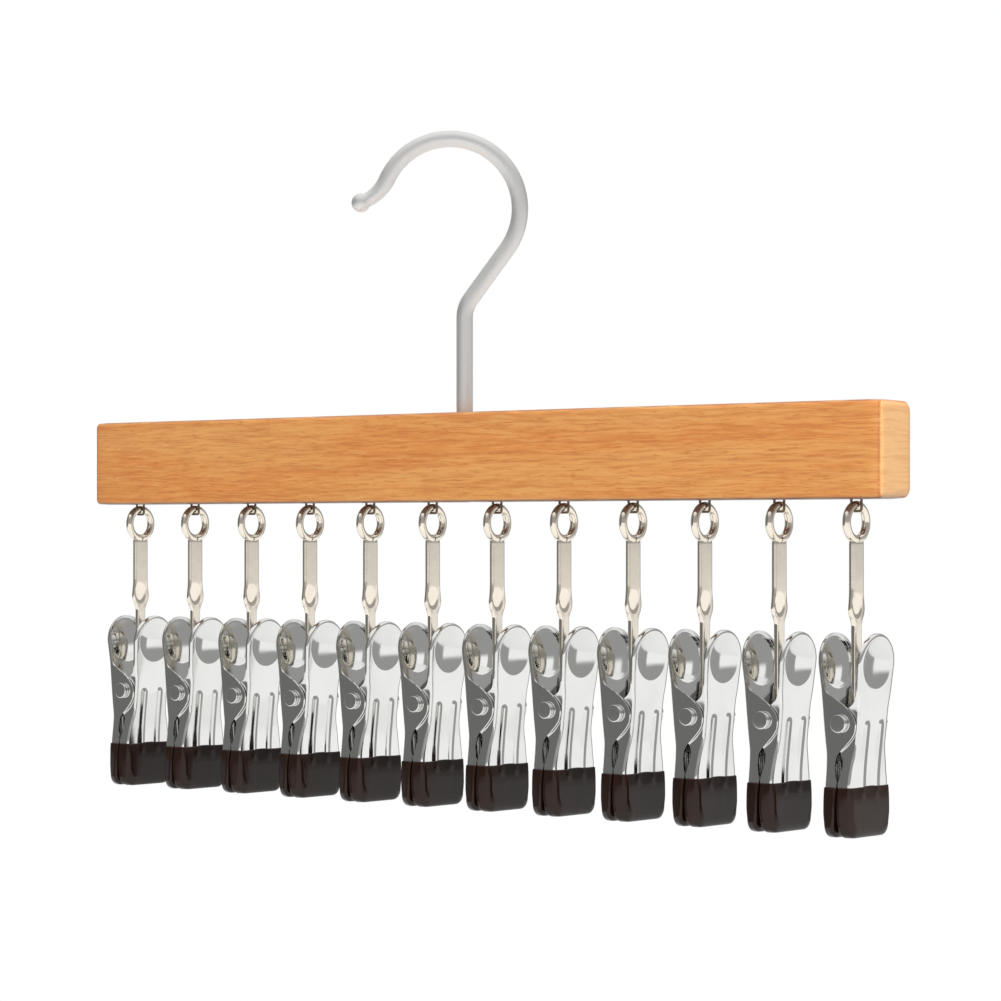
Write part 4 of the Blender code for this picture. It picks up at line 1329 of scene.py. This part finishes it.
class HANGER_OT_straps(Operator):
    """Make the straps with their rings, and their rivets, springs and staples."""

    bl_idname = "hanger.straps"
    bl_label = "Straps"

    def execute(self, context):
        settings = context.scene.hanger_strap
        # Pressed steel, barrel nickel plated: a clear mirror with a warm tint
        nickel = plated_steel("warm_nickel", settings.nickel, 0.10, 4 * MM, 0.02 * MM)
        # Headed steel pin, bright nickel plated: a clear and nearly white mirror
        plate = context.scene.hanger_lever.plate
        bright = plated_steel("bright_nickel_rivet", plate, 0.10, 3 * MM, 0.01 * MM)
        # Spring steel wire, drawn hard: thin bright streaks along a grey wire
        spring = drawn_steel("spring_steel_wire", settings.spring, 0.26, 0.15 * MM, 0.004 * MM)
        # Drawn steel wire, painted dark brown as painted shade at the top of each ring, with little shine
        dull = drawn_steel("dulled_staple_wire", settings.staple, 0.3, 0.4 * MM, 0.002 * MM)
        strap, rivet, staple = strap_mesh(settings), rivet_mesh(settings), staple_mesh(settings)
        coil, right, left = spring_parts(settings)
        for clip in CLIPS:
            pin, ring = JOINT_PLACES[clip + "_right_squeeze"], JOINT_PLACES[clip + "_swing"]
            for part, mesh, material, body, slot, place, node in (
                ("strap_and_ring", strap, nickel, clip + "_strap_body", "nickel", pin, clip + "_strap"),
                ("rivet", rivet, bright, clip + "_strap_body", "nickel", pin, clip + "_strap"),
                ("spring_coil", coil, spring, clip + "_strap_body", "spring_steel", pin, clip + "_spring"),
                ("spring_right", right, spring, clip + "_right_body", "spring_steel", pin, clip + "_spring"),
                ("spring_left", left, spring, clip + "_left_body", "spring_steel", pin, clip + "_spring"),
                ("staple", staple, dull, "bar_body", "zinc", ring, "bar"),
            ):
                add_piece(f"{clip}_{part}", mesh, material, body, place, node)
        return {"FINISHED"}


class HANGER_OT_levers(Operator):
    """Make the pressed levers and their dipped jaws."""

    bl_idname = "hanger.levers"
    bl_label = "Levers"

    def execute(self, context):
        settings, jaw = context.scene.hanger_lever, context.scene.hanger_jaw
        # Pressed steel sheet, bright nickel plated: a clear white mirror with the press's slow waves
        plate = plated_steel("bright_nickel_on_pressed_steel", settings.plate, 0.07, 6 * MM, 0.04 * MM)
        coat = dipped_pvc(jaw)
        shapes = {
            name: (lever_mesh(settings, name, widths, tips, side), dip_mesh(jaw, name, side))
            for name, widths, tips, side in (
                ("left", LEFT_WIDTHS, LEFT_TIPS, -1.0), ("right", RIGHT_WIDTHS, RIGHT_TIPS, 1.0),
            )
        }
        for clip in CLIPS:
            pin = JOINT_PLACES[clip + "_right_squeeze"]
            for side, (lever, dip) in shapes.items():
                body, node = f"{clip}_{side}_body", f"{clip}_{side}_lever"
                add_piece(f"{clip}_{side}_plate", lever, plate, body, pin, node)
                add_piece(f"{clip}_{side}_dip", dip, coat, body, pin, node)
        return {"FINISHED"}


class HANGER_PT_panel(Panel):
    """Lists the hanger's steps and settings."""

    bl_label = "Hanger"
    bl_space_type = "VIEW_3D"
    bl_region_type = "UI"
    bl_category = "Hanger"

    def draw(self, context):
        for operator in OPERATORS:
            self.layout.operator(operator.bl_idname)
        for name, group in GROUPS.items():
            box = self.layout.box()
            box.label(text=group.__doc__)
            for value in group.__annotations__:
                box.prop(getattr(context.scene, name), value)


OPERATORS = (HANGER_OT_studio, HANGER_OT_bar, HANGER_OT_hook, HANGER_OT_straps, HANGER_OT_levers)


def register():
    """Register the classes and hang the settings on the scene."""
    for thing in (*GROUPS.values(), *OPERATORS, HANGER_PT_panel):
        bpy.utils.register_class(thing)
    for name, group in GROUPS.items():
        setattr(bpy.types.Scene, name, PointerProperty(type=group))


def unregister():
    """Take the settings and the classes away again."""
    for name in GROUPS:
        delattr(bpy.types.Scene, name)
    for thing in reversed((*GROUPS.values(), *OPERATORS, HANGER_PT_panel)):
        bpy.utils.unregister_class(thing)


def main():
    """Make the stage and every piece."""
    register()
    bpy.ops.hanger.studio()
    bpy.ops.hanger.bar()
    bpy.ops.hanger.hook()
    bpy.ops.hanger.straps()
    bpy.ops.hanger.levers()


if __name__ == "__main__":
    main()
